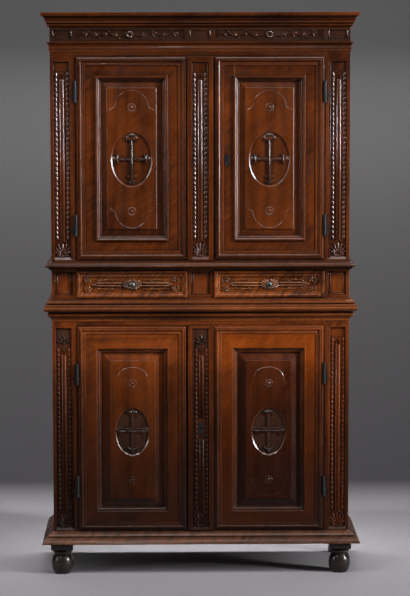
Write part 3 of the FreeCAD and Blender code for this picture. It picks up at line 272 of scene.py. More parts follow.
def walnut_wood_group():
    """Walnut with its grain along Z: growth rings, fibre streaks, curl and pores, darkened by height partly
    for age and partly as painted shade.
    """
    group, given, result = new_group(
        "walnut_wood",
        [("Place", "vector", None), ("Height", "float", 1.0), ("Light", "color", None),
         ("Dark", "color", None), ("Figure", "float", None), ("Wear", "float", None)],
        [("Color", "color"), ("Roughness", "float"), ("Height", "float")],
    )
    place = given["Place"]
    warp = noise_node(group, stretched(group, place, (3, 3, 0.7)), 1.0, 3.0)
    rings = group.nodes.new("ShaderNodeTexWave")
    rings.wave_type = "BANDS"
    rings.bands_direction = "X"
    rings.inputs["Scale"].default_value = 5
    rings.inputs["Distortion"].default_value = 14
    rings.inputs["Detail"].default_value = 4
    rings.inputs["Detail Scale"].default_value = 0.9
    group.links.new(stretched(group, place, (1, 1, 0.16)), rings.inputs["Vector"])
    streaks = noise_node(group, stretched(group, place, (150, 150, 4)), 1.0, 3.0, 0.6)
    pores = noise_node(group, stretched(group, place, (700, 700, 26)), 1.0, 1.0)
    pore_mask = ranged(group, pores, 0.62, 0.74)
    slanted = group.nodes.new("ShaderNodeMapping")
    slanted.inputs["Rotation"].default_value = (0, math.radians(35), 0)
    group.links.new(place, slanted.inputs["Vector"])
    curl = noise_node(group, stretched(group, slanted.outputs[0], (14, 14, 85)), 1.0, 2.0)
    blotch = noise_node(group, stretched(group, place, (4.5, 4.5, 2.6)), 1.0, 3.0, 0.6)

    curl_tone = math_node(group, "MULTIPLY", math_node(group, "SUBTRACT", curl, 0.5), given["Figure"])
    tone = weighted_sum(
        group, 0.0, (rings.outputs["Fac"], 0.16), (streaks, 0.5), (ranged(group, blotch, 0.3, 0.7), 0.5),
        (warp, 0.12), (curl_tone, 2.4))
    color = mix_node(group, "RGBA", ranged(group, tone, 0.3, 1.05), given["Dark"], given["Light"])
    color = mix_node(group, "RGBA", math_node(group, "MULTIPLY", pore_mask, 0.55), color, pore_tone)
    # Darker by height: partly age, partly painted shade.
    age_and_shade = group.nodes.new("ShaderNodeFloatCurve")
    steps = age_and_shade.mapping.curves[0].points
    steps[0].location, steps[1].location = age_and_shade_by_height[0], age_and_shade_by_height[-1]
    for height, share in age_and_shade_by_height[1:-1]:
        steps.new(height, share)
    age_and_shade.mapping.update()
    group.links.new(math_node(group, "DIVIDE", given["Height"], cupboard_height), age_and_shade.inputs["Value"])
    aged_and_shaded = mix_node(group, "RGBA", 1.0, color, age_and_shade.outputs[0], "MULTIPLY")
    group.links.new(aged_and_shaded, result["Color"])

    rubbed = noise_node(group, stretched(group, place, (22, 22, 9)), 1.0, 4.0, 0.65)
    polish = math_node(group, "MULTIPLY", ranged(group, rubbed, 0.35, 0.75), given["Wear"])
    rough = weighted_sum(group, 0.24, (polish, 0.3), (pore_mask, 0.2))
    group.links.new(rough, result["Roughness"])
    height = weighted_sum(group, 0.0, (streaks, 0.35), (pore_mask, -0.5), (rubbed, 0.4))
    group.links.new(height, result["Height"])
    return group


def openness(tree, samples, reach, inside=False):
    node = tree.nodes.new("ShaderNodeAmbientOcclusion")
    node.samples = samples
    node.inside = inside
    plug(tree, reach, node.inputs["Distance"])
    return node.outputs["AO"]


def dark_wax_and_shade_group():
    """Old wax dark in hollows, painted shade in corners, a wider painted shade round every moulding, and worn
    arrises.
    """
    group, given, result = new_group(
        "dark_wax_and_shade",
        [("Color", "color", None), ("Wax and shade", "color", wax_and_shade_tone), ("Reach", "float", None),
         ("Amount", "float", None)],
        [("Color", "color")],
    )
    # Darkening by occlusion: wax in the hollows, painted shade in corners, and a wide painted shade round
    # every moulding.
    hollow = ranged(group, openness(group, 8, given["Reach"]), 0.95, 0.5)
    shade = math_node(group, "MULTIPLY", ranged(group, openness(group, 6, 0.08), 0.97, 0.6), 0.55)
    hollow = math_node(group, "MAXIMUM", hollow, shade)
    hollow = math_node(group, "MULTIPLY", hollow, given["Amount"], clamp=True)
    arris = ranged(group, openness(group, 4, 0.003, inside=True), 0.9, 0.45)
    worn = math_node(group, "MULTIPLY", arris, 0.6, clamp=True)
    rubbed = mix_node(group, "RGBA", worn, given["Color"], worn_tint, "MULTIPLY")
    group.links.new(mix_node(group, "RGBA", hollow, rubbed, given["Wax and shade"]), result["Color"])
    return group


def laid_grain_group():
    """Turns the grain from Z to X where Across is 1, and to Y where Deep is 1."""
    group, given, result = new_group(
        "laid_grain",
        [("Place", "vector", None), ("Across", "float", None), ("Deep", "float", None)],
        [("Along", "vector")],
    )
    parts = group.nodes.new("ShaderNodeSeparateXYZ")
    group.links.new(given["Place"], parts.inputs[0])

    def ordered(first, second, third):
        node = group.nodes.new("ShaderNodeCombineXYZ")
        for number, name in enumerate((first, second, third)):
            group.links.new(parts.outputs[name], node.inputs[number])
        return node.outputs[0]

    turned = mix_node(group, "VECTOR", given["Across"], given["Place"], ordered("Z", "Y", "X"))
    turned = mix_node(group, "VECTOR", given["Deep"], turned, ordered("Z", "X", "Y"))
    group.links.new(turned, result["Along"])
    return group


walnut_wood = walnut_wood_group()
dark_wax_and_shade = dark_wax_and_shade_group()
laid_grain = laid_grain_group()


def placed_group(tree, group):
    node = tree.nodes.new("ShaderNodeGroup")
    node.node_tree = group
    return node


def add_bump(tree, shader, height, strength, distance):
    bump = tree.nodes.new("ShaderNodeBump")
    bump.inputs["Strength"].default_value = strength
    bump.inputs["Distance"].default_value = distance
    tree.links.new(height, bump.inputs["Height"])
    tree.links.new(bump.outputs[0], shader.inputs["Normal"])


def walnut(name, light, dark, grain="up", figure=0.25, wear=0.6, wax_and_shade=0.85, reach=0.022, offset=0.0,
           coat=0.05, gloss=0.22, aged_and_shaded=True):
    """A walnut finish. The grain is up, across, deep, or a function that gives masks for across and deep."""
    made, tree, shader, place = new_finish(name)
    lay = placed_group(tree, laid_grain)
    tree.links.new(place, lay.inputs["Place"])
    masks = grain(tree, place) if callable(grain) else (float(grain == "across"), float(grain == "deep"))
    for value, socket in zip(masks, ("Across", "Deep")):
        plug(tree, value, lay.inputs[socket])
    moved = tree.nodes.new("ShaderNodeMapping")
    moved.inputs["Location"].default_value = (offset, offset * 0.7, offset * 1.3)
    tree.links.new(lay.outputs["Along"], moved.inputs["Vector"])
    wood = placed_group(tree, walnut_wood)
    tree.links.new(moved.outputs[0], wood.inputs["Place"])
    # Darkens the wood by height, partly for age and partly as painted shade.
    if aged_and_shaded:
        heights = tree.nodes.new("ShaderNodeSeparateXYZ")
        tree.links.new(place, heights.inputs[0])
        tree.links.new(heights.outputs["Z"], wood.inputs["Height"])
    wood.inputs["Light"].default_value = (*light, 1)
    wood.inputs["Dark"].default_value = (*dark, 1)
    wood.inputs["Figure"].default_value = figure
    wood.inputs["Wear"].default_value = wear
    waxed_and_shaded = placed_group(tree, dark_wax_and_shade)
    waxed_and_shaded.inputs["Reach"].default_value = reach
    waxed_and_shaded.inputs["Amount"].default_value = wax_and_shade
    tree.links.new(wood.outputs["Color"], waxed_and_shaded.inputs["Color"])
    tree.links.new(waxed_and_shaded.outputs["Color"], shader.inputs["Base Color"])
    tree.links.new(wood.outputs["Roughness"], shader.inputs["Roughness"])
    add_bump(tree, shader, wood.outputs["Height"], 0.25, 0.0006)
    shader.inputs["Specular IOR Level"].default_value = gloss
    shader.inputs["Coat Weight"].default_value = coat
    shader.inputs["Coat Roughness"].default_value = 0.09
    return made


same_point = 0.00001


def dress(names, finish, round_edges=0.0008):
    """Gives CAD nodes their finish, and eases their sharp edges."""
    for name in names:
        node = nodes[name]
        for slot in node.material_slots:
            slot.material = finish
        if round_edges:
            weld = node.modifiers.new("weld", "WELD")
            weld.merge_threshold = same_point
            eased = node.modifiers.new("eased_edges", "BEVEL")
            eased.width = round_edges
            eased.segments = 2
            eased.limit_method = "ANGLE"
            eased.angle_limit = math.radians(28)
            eased.use_clamp_overlap = True
            flat = node.modifiers.new("flat_faces", "WEIGHTED_NORMAL")
            flat.keep_sharp = True


brown_light = (0.17, 0.036, 0.005)
brown_dark = (0.034, 0.0075, 0.002)


def both(*names):
    """The nodes of pieces that each stage has."""
    return [stage + name for name in names for stage in ("lower_", "upper_")]


post_walnut = walnut("post_walnut", brown_light, brown_dark)
rail_walnut = walnut("rail_walnut", brown_light, brown_dark, "across", offset=1.7)
side_rail_walnut = walnut("side_rail_walnut", brown_light, brown_dark, "deep", offset=2.1)
dress(both("front_posts", "rear_posts"), post_walnut)
dress(both("front_rails"), rail_walnut)
dress(both("carcass_rails"), side_rail_walnut)

# Two front feet in blackened walnut: under a square pad, which the plinth stands on, the foot is
# turned to a hollow neck, a collar and a ball with a flattened sole.

foot_low, foot_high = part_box("front_feet")
foot_pad_half = (foot_high.y - foot_low.y) / 2
foot_axis_x = foot_high.x - foot_pad_half
foot_axis_y = foot_high.y - foot_pad_half
foot_profile = (
    (0, 0), (0.0285, 0), (0.031, 0.0018), (0.0345, 0.008), (0.0385, 0.016), (0.0415, 0.025),
    (0.0432, 0.035), (0.0435, 0.044), (0.0425, 0.054), (0.0395, 0.064), (0.035, 0.072), (0.0315, 0.0765),
    (0.03, 0.079), (0.0302, 0.0815), (0.0345, 0.0825), (0.0375, 0.0845), (0.0383, 0.088), (0.0375, 0.0915),
    (0.0345, 0.0935), (0.0325, 0.0945), (0.0318, 0.096), (0.0325, 0.0985), (0, 0.0985),
)
foot_pad_low = 0.0978
foot_pad_height = foot_high.z - foot_pad_low


def turning(bm, points, centre, axis, steps):
    """Turns a line of points round the axis through the centre."""
    line = [bm.verts.new(point) for point in points]
    edges = [bm.edges.new(pair) for pair in zip(line, line[1:])]
    bmesh.ops.spin(
        bm, geom=line + edges, cent=centre, axis=axis, angle=math.radians(360), steps=steps, use_merge=True,
        use_duplicate=False)


def turned_feet():
    bm = bmesh.new()
    for side in (-1, 1):
        x = side * foot_axis_x
        outline = [(x + radius, foot_axis_y, height) for radius, height in foot_profile]
        turning(bm, outline, (x, foot_axis_y, 0), (0, 0, 1), 40)
        pad = bmesh.ops.create_cube(bm, size=1)["verts"]
        bmesh.ops.scale(bm, verts=pad, vec=(2 * foot_pad_half, 2 * foot_pad_half, foot_pad_height))
        bmesh.ops.translate(bm, verts=pad, vec=(x, foot_axis_y, foot_pad_low + foot_pad_height / 2))
        pad_edges = list({edge for vert in pad for edge in vert.link_edges})
        bmesh.ops.bevel(
            bm, geom=pad_edges, offset=0.003, affect="EDGES", segments=3, profile=0.5, material=-1)
    bmesh.ops.remove_doubles(bm, verts=bm.verts, dist=same_point)
    return bm


def finished(name, bm, body, finish, smooth_below=35):
    """Makes a piece of a bmesh: soft shading between flat faces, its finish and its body."""
    bmesh.ops.recalc_face_normals(bm, faces=bm.faces)
    mesh = bpy.data.meshes.new(name)
    for face in bm.faces:
        face.smooth = True
    for edge in bm.edges:
        if len(edge.link_faces) == 2 and edge.calc_face_angle(0) > math.radians(smooth_below):
            edge.smooth = False
    bm.to_mesh(mesh)
    bm.free()
    mesh.materials.append(finish)
    piece = bpy.data.objects.new(name, mesh)
    bpy.context.scene.collection.objects.link(piece)
    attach(piece, body)
    return piece


feet_walnut = walnut(
    "feet_walnut", (0.022, 0.014, 0.011), (0.008, 0.005, 0.004), offset=5.1, coat=0.35, aged_and_shaded=False)
feet = finished("turned_front_feet", turned_feet(), "carcass", feet_walnut)
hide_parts("front_feet")

# The mouldings that run round the front and both sides: plinth, bed, top board, base, waist,
# architrave and cornice. Each is one walnut length a side, mitred at the front corners.


def three_sided(tree, place):
    """Across on the front and deep on the sides, told apart by where the wood faces."""
    facing = tree.nodes.new("ShaderNodeSeparateXYZ")
    tree.links.new(tree.nodes.new("ShaderNodeNewGeometry").outputs["True Normal"], facing.inputs[0])
    sideways = math_node(tree, "ABSOLUTE", facing.outputs["X"])
    return 1.0, math_node(tree, "GREATER_THAN", sideways, 0.3)


moulding_walnut = walnut(
    "moulding_walnut", (0.14, 0.034, 0.0062), (0.03, 0.008, 0.0023), three_sided, wear=0.7, offset=0.9,
    coat=0.04, gloss=0.16)
dress(["bed_moulding", "top_board", "upper_base_moulding", "waist_moulding"], moulding_walnut)
head_walnut = walnut(
    "head_moulding_walnut", (0.17, 0.038, 0.006), (0.036, 0.0085, 0.0023), three_sided, wear=1.0, offset=1.3,
    coat=0.0, gloss=0.08)
dress(["architrave_moulding"], head_walnut)
dress(["cornice_moulding"], head_walnut, 0)
plinth_walnut = walnut(
    "plinth_walnut", (0.085, 0.03, 0.014), (0.016, 0.008, 0.005), three_sided, figure=0.6, wear=1.0,
    offset=2.9, coat=0.0, aged_and_shaded=False)
dress(["plinth_moulding"], plinth_walnut)

# Side panels: one raised and fielded walnut panel a side in each stage, its grain upright, held in
# the grooves of posts and rails.

side_walnut = walnut("side_panel_walnut", brown_light, brown_dark, figure=0.35, offset=3.3)
dress(both("side_panels"), side_walnut, 0.0012)

# The unseen boards are plain oak, planed and never waxed: backs, floors, shelves, roof, runners
# and drawer boxes.


def inner_oak(name, grain):
    # Their corners still darken by the default amount, which on these unwaxed boards is painted shade only.
    return walnut(
        name, (0.16, 0.085, 0.035), (0.07, 0.035, 0.014), grain, figure=0.0, wear=1.0, coat=0.0, offset=9.2,
        aged_and_shaded=False)


dress(both("back_boards"), inner_oak("upright_oak", "up"), 0)
board_oak = inner_oak("board_oak", "across")
dress(["roof_board", *both("floor_board"), "lower_shelf", "upper_shelves"], board_oak, 0)
dress(["drawer_runners", "left_drawer_box", "right_drawer_box"], inner_oak("drawer_oak", "deep"), 0)

# The doors: a mitred walnut frame with a bead moulding round its outer edge and a bolection
# round its opening, and a raised and fielded panel held in the frame's groove. The lower right one
# has kept more copper colour in its frame, and its panel has gone darker.


def door_mitres(middle_x, middle_z, slack):
    """Across between the mitres of a door's rails, and up on its stiles, on both doors alike."""
    def masks(tree, place):
        parts = tree.nodes.new("ShaderNodeSeparateXYZ")
        tree.links.new(place, parts.inputs[0])
        off_x = math_node(tree, "ABSOLUTE", parts.outputs["X"])
        off_x = math_node(tree, "ABSOLUTE", math_node(tree, "SUBTRACT", off_x, middle_x))
        off_z = math_node(tree, "ABSOLUTE", math_node(tree, "SUBTRACT", parts.outputs["Z"], middle_z))
        difference = math_node(tree, "SUBTRACT", off_z, off_x)
        return math_node(tree, "GREATER_THAN", difference, slack), 0.0
    return masks


panel_tones = ((0.19, 0.04, 0.005), (0.045, 0.01, 0.0022))
copper_frame_tones = ((0.215, 0.042, 0.003), (0.075, 0.014, 0.0018))
dark_panel_tones = ((0.1, 0.019, 0.003), (0.026, 0.0055, 0.0015))

for stage, curl in (("upper", 0.4), ("lower", 0.25)):
    low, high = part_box(stage + "_left_door_panel")
    middle_x = -(low.x + high.x) / 2
    middle_z = (low.z + high.z) / 2
    slack = (high.z - low.z) / 2 - (high.x - low.x) / 2
    mitres = door_mitres(middle_x, middle_z, slack)
    dress([stage + "_centre_pilaster"], post_walnut)
    for side in ("left", "right"):
        door = stage + "_" + side + "_door_"
        frame_tones, field_tones = (brown_light, brown_dark), panel_tones
        if door == "lower_right_door_":
            frame_tones, field_tones = copper_frame_tones, dark_panel_tones
        frame_walnut = walnut(door + "frame_walnut", *frame_tones, mitres, figure=curl, offset=4.4)
        dress([door + "frame"], frame_walnut)
        border_walnut = walnut(
            door + "moulding_walnut", (0.17, 0.038, 0.0065), (0.034, 0.008, 0.0022), mitres, wear=0.35,
            offset=6.2, coat=0.11)
        dress([door + "mouldings"], border_walnut)
        panel_walnut = walnut(door + "panel_walnut", *field_tones, figure=0.2, offset=7.7)
        dress([door + "panel"], panel_walnut, 0.0014)

# The carved strips of the corner posts and of the pilasters on the doors. In each sunk panel two
# ropes run up the sides and a pair of ridges up the middle, over a palm at the foot. The lower left
# and the lower centre strip have a blackened palm at the head as well.

root = 0.0004


def carved_lobe(bm, start, end, width, height, ground, taper=0.0, sides=8, rings=5, lean=0.0):
    """A rounded form from start to end (x, z), rooted in flat ground: a bead, a ridge, or a leaf where it
    tapers. Where it leans, its crown lies off the middle and one flank is broad."""
    start = Vector((start[0], 0, start[1]))
    end = Vector((end[0], 0, end[1]))
    along = end - start
    length = along.length
    along.normalize()
    across = Vector((along.z, 0, -along.x))
    straight = max(length - width, 0) / 2
    verts = bmesh.ops.create_uvsphere(bm, u_segments=sides, v_segments=rings, radius=1)["verts"]
    for vert in verts:
        share = (vert.co.z + 1) / 2
        if taper:
            reach = vert.co.z * length / 2
            narrow = 1 - taper * share
        else:
            reach = vert.co.z * min(width, length) / 2 + math.copysign(straight, vert.co.z)
            narrow = 1
        deep = max(vert.co.y, 0) * height * (1 - taper * share * 0.5)
        vert.co = (start + end) / 2 + along * reach + across * (vert.co.x * width / 2 * narrow)
        vert.co.x += lean * deep
        vert.co.y = ground - deep + (root if deep == 0 else 0)


def carved_line(bm, points, width, height, ground, closed=False):
    """A raised line through points (x, z) or (x, z, share of the width), rounded, on flat ground."""
    curve = bpy.data.curves.new("carved_line", "CURVE")
    curve.dimensions = "3D"
    curve.bevel_depth = width / 2
    curve.bevel_resolution = 1
    curve.resolution_u = 3
    curve.use_fill_caps = not closed
    spline = curve.splines.new("NURBS")
    spline.points.add(len(points) - 1)
    for spot, point in zip(spline.points, points):
        spot.co = (point[0], 0, point[1], 1)
        spot.radius = point[2] if len(point) > 2 else 1
    spline.order_u = 3
    spline.use_endpoint_u = not closed
    spline.use_cyclic_u = closed
    holder = bpy.data.objects.new("carved_line", curve)
    mesh = bpy.data.meshes.new_from_object(holder)
    for vert in mesh.vertices:
        deep = max(-vert.co.y, 0) * 2 * height / width
        vert.co.y = ground - deep + (root if deep == 0 else 0)
    bm.from_mesh(mesh)
    bpy.data.objects.remove(holder)
    bpy.data.curves.remove(curve)
    bpy.data.meshes.remove(mesh)


def carve(bm, x, z, rows, side=1, up=1):
    """Carves rows of points, width, height, ground and, for a lobe, the rest of its shape. The points are
    distances from (x, z), mirrored where side or up is -1. Two points make a lobe, and more make a line."""
    for points, width, height, ground, *shape in rows:
        spots = [(x + side * point[0], z + up * point[1], *point[2:]) for point in points]
        if len(spots) == 2:
            carved_lobe(bm, *spots, width, height, ground, **dict(*shape))
        else:
            carved_line(bm, spots, width, height, ground)


def rope(bm, x, low, high, side, ground, height, lean, pitch=0.019, width=0.011):
    """A rope of leaning leaves between two heights, cut so that their broad flank faces the middle."""
    count = round((high - low) / pitch)
    step = (high - low) / count
    for number in range(count):
        leaf = ((-0.0016, -0.0006), (0.0016, step + 0.0006))
        shape = {"rings": 7, "lean": side * lean}
        carve(bm, x, low + number * step, ((leaf, width, height, ground, shape),), side)


def palm(bm, x, z, size, ground, leaves, spread, width, height=0.005):
    """A fan of pointed leaves over a small eye."""
    for number in range(leaves):
        turn = math.radians(-spread + 2 * spread * number / (leaves - 1))
        reach = size * (0.78 + 0.22 * math.cos(turn))
        tip = (x + math.sin(turn) * reach, z + math.cos(turn) * reach)
        foot = (x + math.sin(turn) * size * 0.16, z + math.cos(turn) * size * 0.16)
        carved_lobe(bm, foot, tip, width, height, ground, taper=0.55)
    carved_lobe(bm, (x - 0.0045, z), (x + 0.0045, z), 0.009, height * 1.1, ground)


def arc_points(x, z, half_x, half_z, start, end, count):
    """Points on an oval, its angles in degrees from straight up."""
    return [
        (x + half_x * math.sin(turn), z + half_z * math.cos(turn))
        for turn in (math.radians(start + (end - start) * number / (count - 1)) for number in range(count))
    ]


def flat_fillet(bm, low_x, high_x, low_z, high_z, ground, height):
    """A flat bar with eased front edges."""
    bar = bmesh.ops.create_cube(bm, size=1)["verts"]
    middle = ((low_x + high_x) / 2, ground - height / 2 + 0.0002, (low_z + high_z) / 2)
    bmesh.ops.scale(bm, verts=bar, vec=(high_x - low_x, height, high_z - low_z))
    bmesh.ops.translate(bm, verts=bar, vec=middle)
    front = ground - height / 2
    edges = {edge for vert in bar for edge in vert.link_edges if all(end.co.y < front for end in edge.verts)}
    bmesh.ops.bevel(bm, geom=list(edges), offset=0.0009, affect="EDGES", segments=2, profile=0.5, material=-1)


def carved(name, bm, body, finish):
    """A finished carving, soft across edges of less than 50 degrees."""
    finished(name, bm, body, finish, smooth_below=50)


ridges = ((0.0015, 0.015, 0.0034, 0.0), (-0.005, 0.004, 0.005, -0.45), (0.0066, 0.0084, 0.005, -0.45))


def carved_strip(x, low, high, half, ground, gap, fillet, drop, cut):
    """Everything in one sunk panel. The gap is left bare for a keyhole plate, the drop is the plain part at
    the head, and the cut is the height and the lean of the ropes."""
    bm = bmesh.new()
    head = high - drop
    rope_foot = low + 0.066
    ridge_foot = low + 0.06
    ridge_top = head - 0.026
    for side in (-1, 1):
        rope(bm, x + side * (half - 0.01), rope_foot, head, side, ground, *cut)
        carved_lobe(bm, (x + side * half, low), (x + side * half, high - 0.001), 0.0044, 0.0046, ground)
    if fillet:
        flat_fillet(bm, *fillet, low - 0.006, high, ground, 0.0056)
    runs = ((ridge_foot, gap[0]), (gap[1], ridge_top)) if gap else ((ridge_foot, ridge_top),)
    for foot, top in runs:
        for off, width, height, lean in ridges:
            carved_lobe(bm, (x + off, foot), (x + off, top), width, height, ground, sides=10, lean=lean)
    carved_line(bm, arc_points(x + 0.001, ridge_top, 0.0062, 0.021, -90, 90, 9), 0.0034, 0.004, ground)
    carved_line(bm, arc_points(x, head - 0.002, half - 0.011, 0.009, -80, 80, 9), 0.003, 0.0022, ground)
    for side in (-1, 1):
        curl = arc_points(x + side * (half - 0.0095), head + 0.001, 0.0042, 0.0055, -100, 140, 8)
        carved_line(bm, curl, 0.0028, 0.0028, ground)
    palm(bm, x, low + 0.004, 0.054, ground, 7, 58, 0.011)
    carved_line(bm, arc_points(x, low + 0.022, half - 0.004, 0.042, -80, 80, 9), 0.0036, 0.0042, ground)
    for side in (-1, 1):
        carve(bm, x, low, ((((0.004, 0.003), (0.024, 0.01)), 0.008, 0.0052, ground, {"taper": 0.5}),), side)
    return bm


carved_walnut = walnut(
    "carved_walnut", (0.15, 0.034, 0.007), (0.026, 0.007, 0.0025), wear=0.3, wax_and_shade=1.0, reach=0.01,
    coat=0.45, offset=8.3)
dull_carved_walnut = walnut(
    "dull_carved_walnut", (0.11, 0.024, 0.005), (0.024, 0.006, 0.002), wear=0.9, wax_and_shade=0.9, reach=0.01,
    coat=0.0, gloss=0.08, offset=8.3)
red_carved_walnut = walnut(
    "red_carved_walnut", (0.085, 0.018, 0.003), (0.022, 0.005, 0.0015), wear=0.9, wax_and_shade=0.8, reach=0.01,
    coat=0.0, gloss=0.08, offset=8.3, aged_and_shaded=False)
blackened_walnut = walnut(
    "blackened_walnut", (0.03, 0.011, 0.005), (0.01, 0.004, 0.002), wear=0.6, wax_and_shade=1.0, reach=0.01,
    coat=0.05, gloss=0.1, offset=8.3)
upper_strip = (1.256, 2.013)
lower_strip = (0.187, 0.979)
post_x = 0.536
post_panel_depth = 0.006
post_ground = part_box("upper_front_posts")[0].y + post_panel_depth
post_form = (0.031, post_ground)
pilaster_panel_depth = 0.005
pilaster_form = (0.03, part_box("upper_centre_pilaster")[0].y + pilaster_panel_depth)
keyhole_gap = (0.54, 0.622)
left_fillet = (-0.504, -0.4965)
right_fillet = (0.4965, 0.504)
deep_cut = (0.0052, 0.45)
flat_cut = (0.0036, 0.1)
plain_head = 0.041
palm_head = 0.08
strips = (
    ("upper_left_post", "carcass", -post_x, upper_strip, post_form, None, left_fillet),
    ("upper_right_post", "carcass", post_x, upper_strip, post_form, None, right_fillet),
    ("lower_left_post", "carcass", -post_x, lower_strip, post_form, None, left_fillet),
    ("lower_right_post", "carcass", post_x, lower_strip, post_form, None, right_fillet),
    ("upper_pilaster", "upper_left_door", -0.0015, (1.258, 2.011), pilaster_form, None, None),
    ("lower_pilaster", "lower_right_door", 0.0015, (0.189, 0.977), pilaster_form, keyhole_gap, None),
)
for strip, body, x, (low, high), (half, ground), gap, fillet in strips:
    finish, drop, cut = carved_walnut, plain_head, deep_cut
    if strip == "lower_right_post":
        finish, cut = red_carved_walnut, flat_cut
    elif strip.startswith("lower"):
        finish, drop, cut = dull_carved_walnut, palm_head, flat_cut
    bm = carved_strip(x, low, high, half, ground, gap, fillet, drop, cut)
    carved(strip + "_carving", bm, body, finish)
    if drop == palm_head:
        bm = bmesh.new()
        palm(bm, x, high - 0.06, 0.036, ground, 5, 70, 0.013)
        flat_fillet(bm, x - half + 0.002, x + half - 0.002, high - 0.094, high - 0.003, ground, 0.0008)
        carved(strip + "_carving_head", bm, body, blackened_walnut)

# The crosses on the four raised fields, each in a sunk oval with a sloping wall, black with wax in
# the lower ones. Above and below it a fine raised line frames the field, with a ringed button
# under each arch.

oval_depth = 0.005
rim_insets = (-0.0006, 0.0036)
cross_thickness = 0.0038
fine_line = (0.002, 0.0009)


def ringed_button(bm, x, z, radius, ground):
    carved_line(bm, arc_points(x, z, radius, radius, 0, 330, 12), 0.0028, 0.0014, ground, closed=True)
    carved_lobe(bm, (x - radius * 0.4, z), (x + radius * 0.4, z), radius * 0.8, 0.0024, ground)
    for turn in range(0, 360, 60):
        spot_x = x + radius * 0.62 * math.sin(math.radians(turn))
        spot_z = z + radius * 0.62 * math.cos(math.radians(turn))
        carved_lobe(bm, (spot_x - 0.0018, spot_z), (spot_x + 0.0018, spot_z), 0.0036, 0.0018, ground)


def oval_slope(bm, outer, inner, field):
    """The wall of a sunk oval: a slope between two rings of (x, z), then upright down to its ground."""
    floor = field + oval_depth + 0.0002
    rings = [
        [bm.verts.new((x, y, z)) for x, z in ring]
        for ring, y in ((outer, field - 0.0002), (inner, field + 0.0027), (inner, floor), (outer, floor))
    ]
    for first, second in zip(rings, rings[1:] + rings[:1]):
        for number in range(len(first)):
            after = (number + 1) % len(first)
            bm.faces.new((first[number], first[after], second[after], second[number]))


def upper_cross(x, z, sunk):
    bm = bmesh.new()
    arm = sunk - cross_thickness
    carve(bm, x, z, (
        (((0, -0.097), (0, 0.097)), 0.016, 0.0012, arm, {"sides": 10}),
        (((-0.071, 0.001), (0.071, 0.001)), 0.013, 0.0012, arm, {"sides": 10}),
        (((0.001, -0.092), (0.001, 0.076)), 0.0064, 0.004, arm, {"sides": 10, "lean": -0.45}),
        (((-0.055, 0.001), (0.055, 0.001)), 0.0036, 0.0034, arm),
        (((-0.0235, 0.083), (0.0235, 0.083)), 0.019, 0.0022, sunk),
        (((-0.013, 0.094), (0.013, 0.094)), 0.015, 0.0022, sunk),
        (((-0.02, -0.07), (0.02, -0.07)), 0.0046, 0.0046, sunk),
    ))
    for side in (-1, 1):
        carve(bm, x, z, (
            (((0.055, -0.019), (0.055, 0.016)), 0.0072, 0.0046, arm, {"lean": -0.4}),
            (((0.048, 0.019), (0.064, 0.015)), 0.006, 0.0042, arm, {"taper": 0.3}),
            (((0.06, 0), (0.077, 0)), 0.024, 0.0028, sunk, {"taper": 0.2}),
            (((0.002, 0.074, 1.0), (0.013, 0.071, 1.0), (0.021, 0.077, 0.9), (0.019, 0.085, 0.7)),
             0.0048, 0.004, arm),
            (((0.001, 0.09, 1.0), (0.009, 0.095, 0.8), (0.013, 0.09, 0.6)), 0.0042, 0.0036, arm),
            (((0.001, -0.094), (0.014, -0.082)), 0.006, 0.004, arm, {"taper": 0.3}),
        ), side)
    return bm


def upper_frame_lines(x, z, field):
    bm = bmesh.new()
    rings = [arc_points(x, z, 0.0795 - inset, 0.1065 - inset, 0, 350, 36) for inset in rim_insets]
    oval_slope(bm, *rings, field)
    for up in (-1, 1):
        middle = z + up * 0.201
        carved_line(bm, arc_points(x, middle, 0.066, up * 0.066, -90, 90, 11), 0.0022, 0.0011, field)
        for side in (-1, 1):
            foot = (x + side * 0.066, middle - up * 0.002)
            shoulder = (x + side * 0.076, middle - up * 0.002)
            carved_line(bm, [foot, shoulder], *fine_line, field)
            carved_line(bm, [shoulder, (x + side * 0.086, middle - up * 0.012)], *fine_line, field)
        ringed_button(bm, x, middle, 0.015, field)
    return bm


def lower_cross(x, z, sunk):
    bm = bmesh.new()
    arm = sunk - cross_thickness
    black_ground = bmesh.ops.create_circle(bm, cap_ends=True, segments=40, radius=1)["verts"]
    for vert in black_ground:
        vert.co = (x + vert.co.x * 0.0632, sunk - root, z + vert.co.y * 0.0905)
    carve(bm, x, z, (
        (((0, -0.084), (0, 0.088)), 0.015, 0.0012, arm, {"sides": 10}),
        (((-0.06, 0.006), (0.06, 0.006)), 0.016, 0.0012, arm, {"sides": 10}),
        (((-0.063, 0.003), (0.063, 0.003)), 0.0056, 0.0044, arm, {"sides": 10}),
    ))
    for side in (-1, 1):
        carve(bm, x, z, (
            (((0.006, 0.0135), (0.044, 0.0135)), 0.0048, 0.004, arm, {"sides": 10}),
            (((0.038, 0.01), (0.056, 0.021)), 0.006, 0.0044, sunk, {"taper": 0.4}),
            (((0.052, 0.02), (0.064, 0.006)), 0.0054, 0.0044, sunk, {"taper": 0.4}),
            (((0.001, 0.077), (0.018, 0.08)), 0.0125, 0.0054, arm),
            (((0.01, -0.068), (0.02, -0.062)), 0.0062, 0.0046, arm),
        ), side)
    carve(bm, x, z, (
        (((-0.012, -0.069), (0.012, -0.069)), 0.0056, 0.0046, arm),
        (((0, -0.066), (0, -0.088)), 0.009, 0.0044, arm, {"taper": 0.4}),
    ))
    return bm


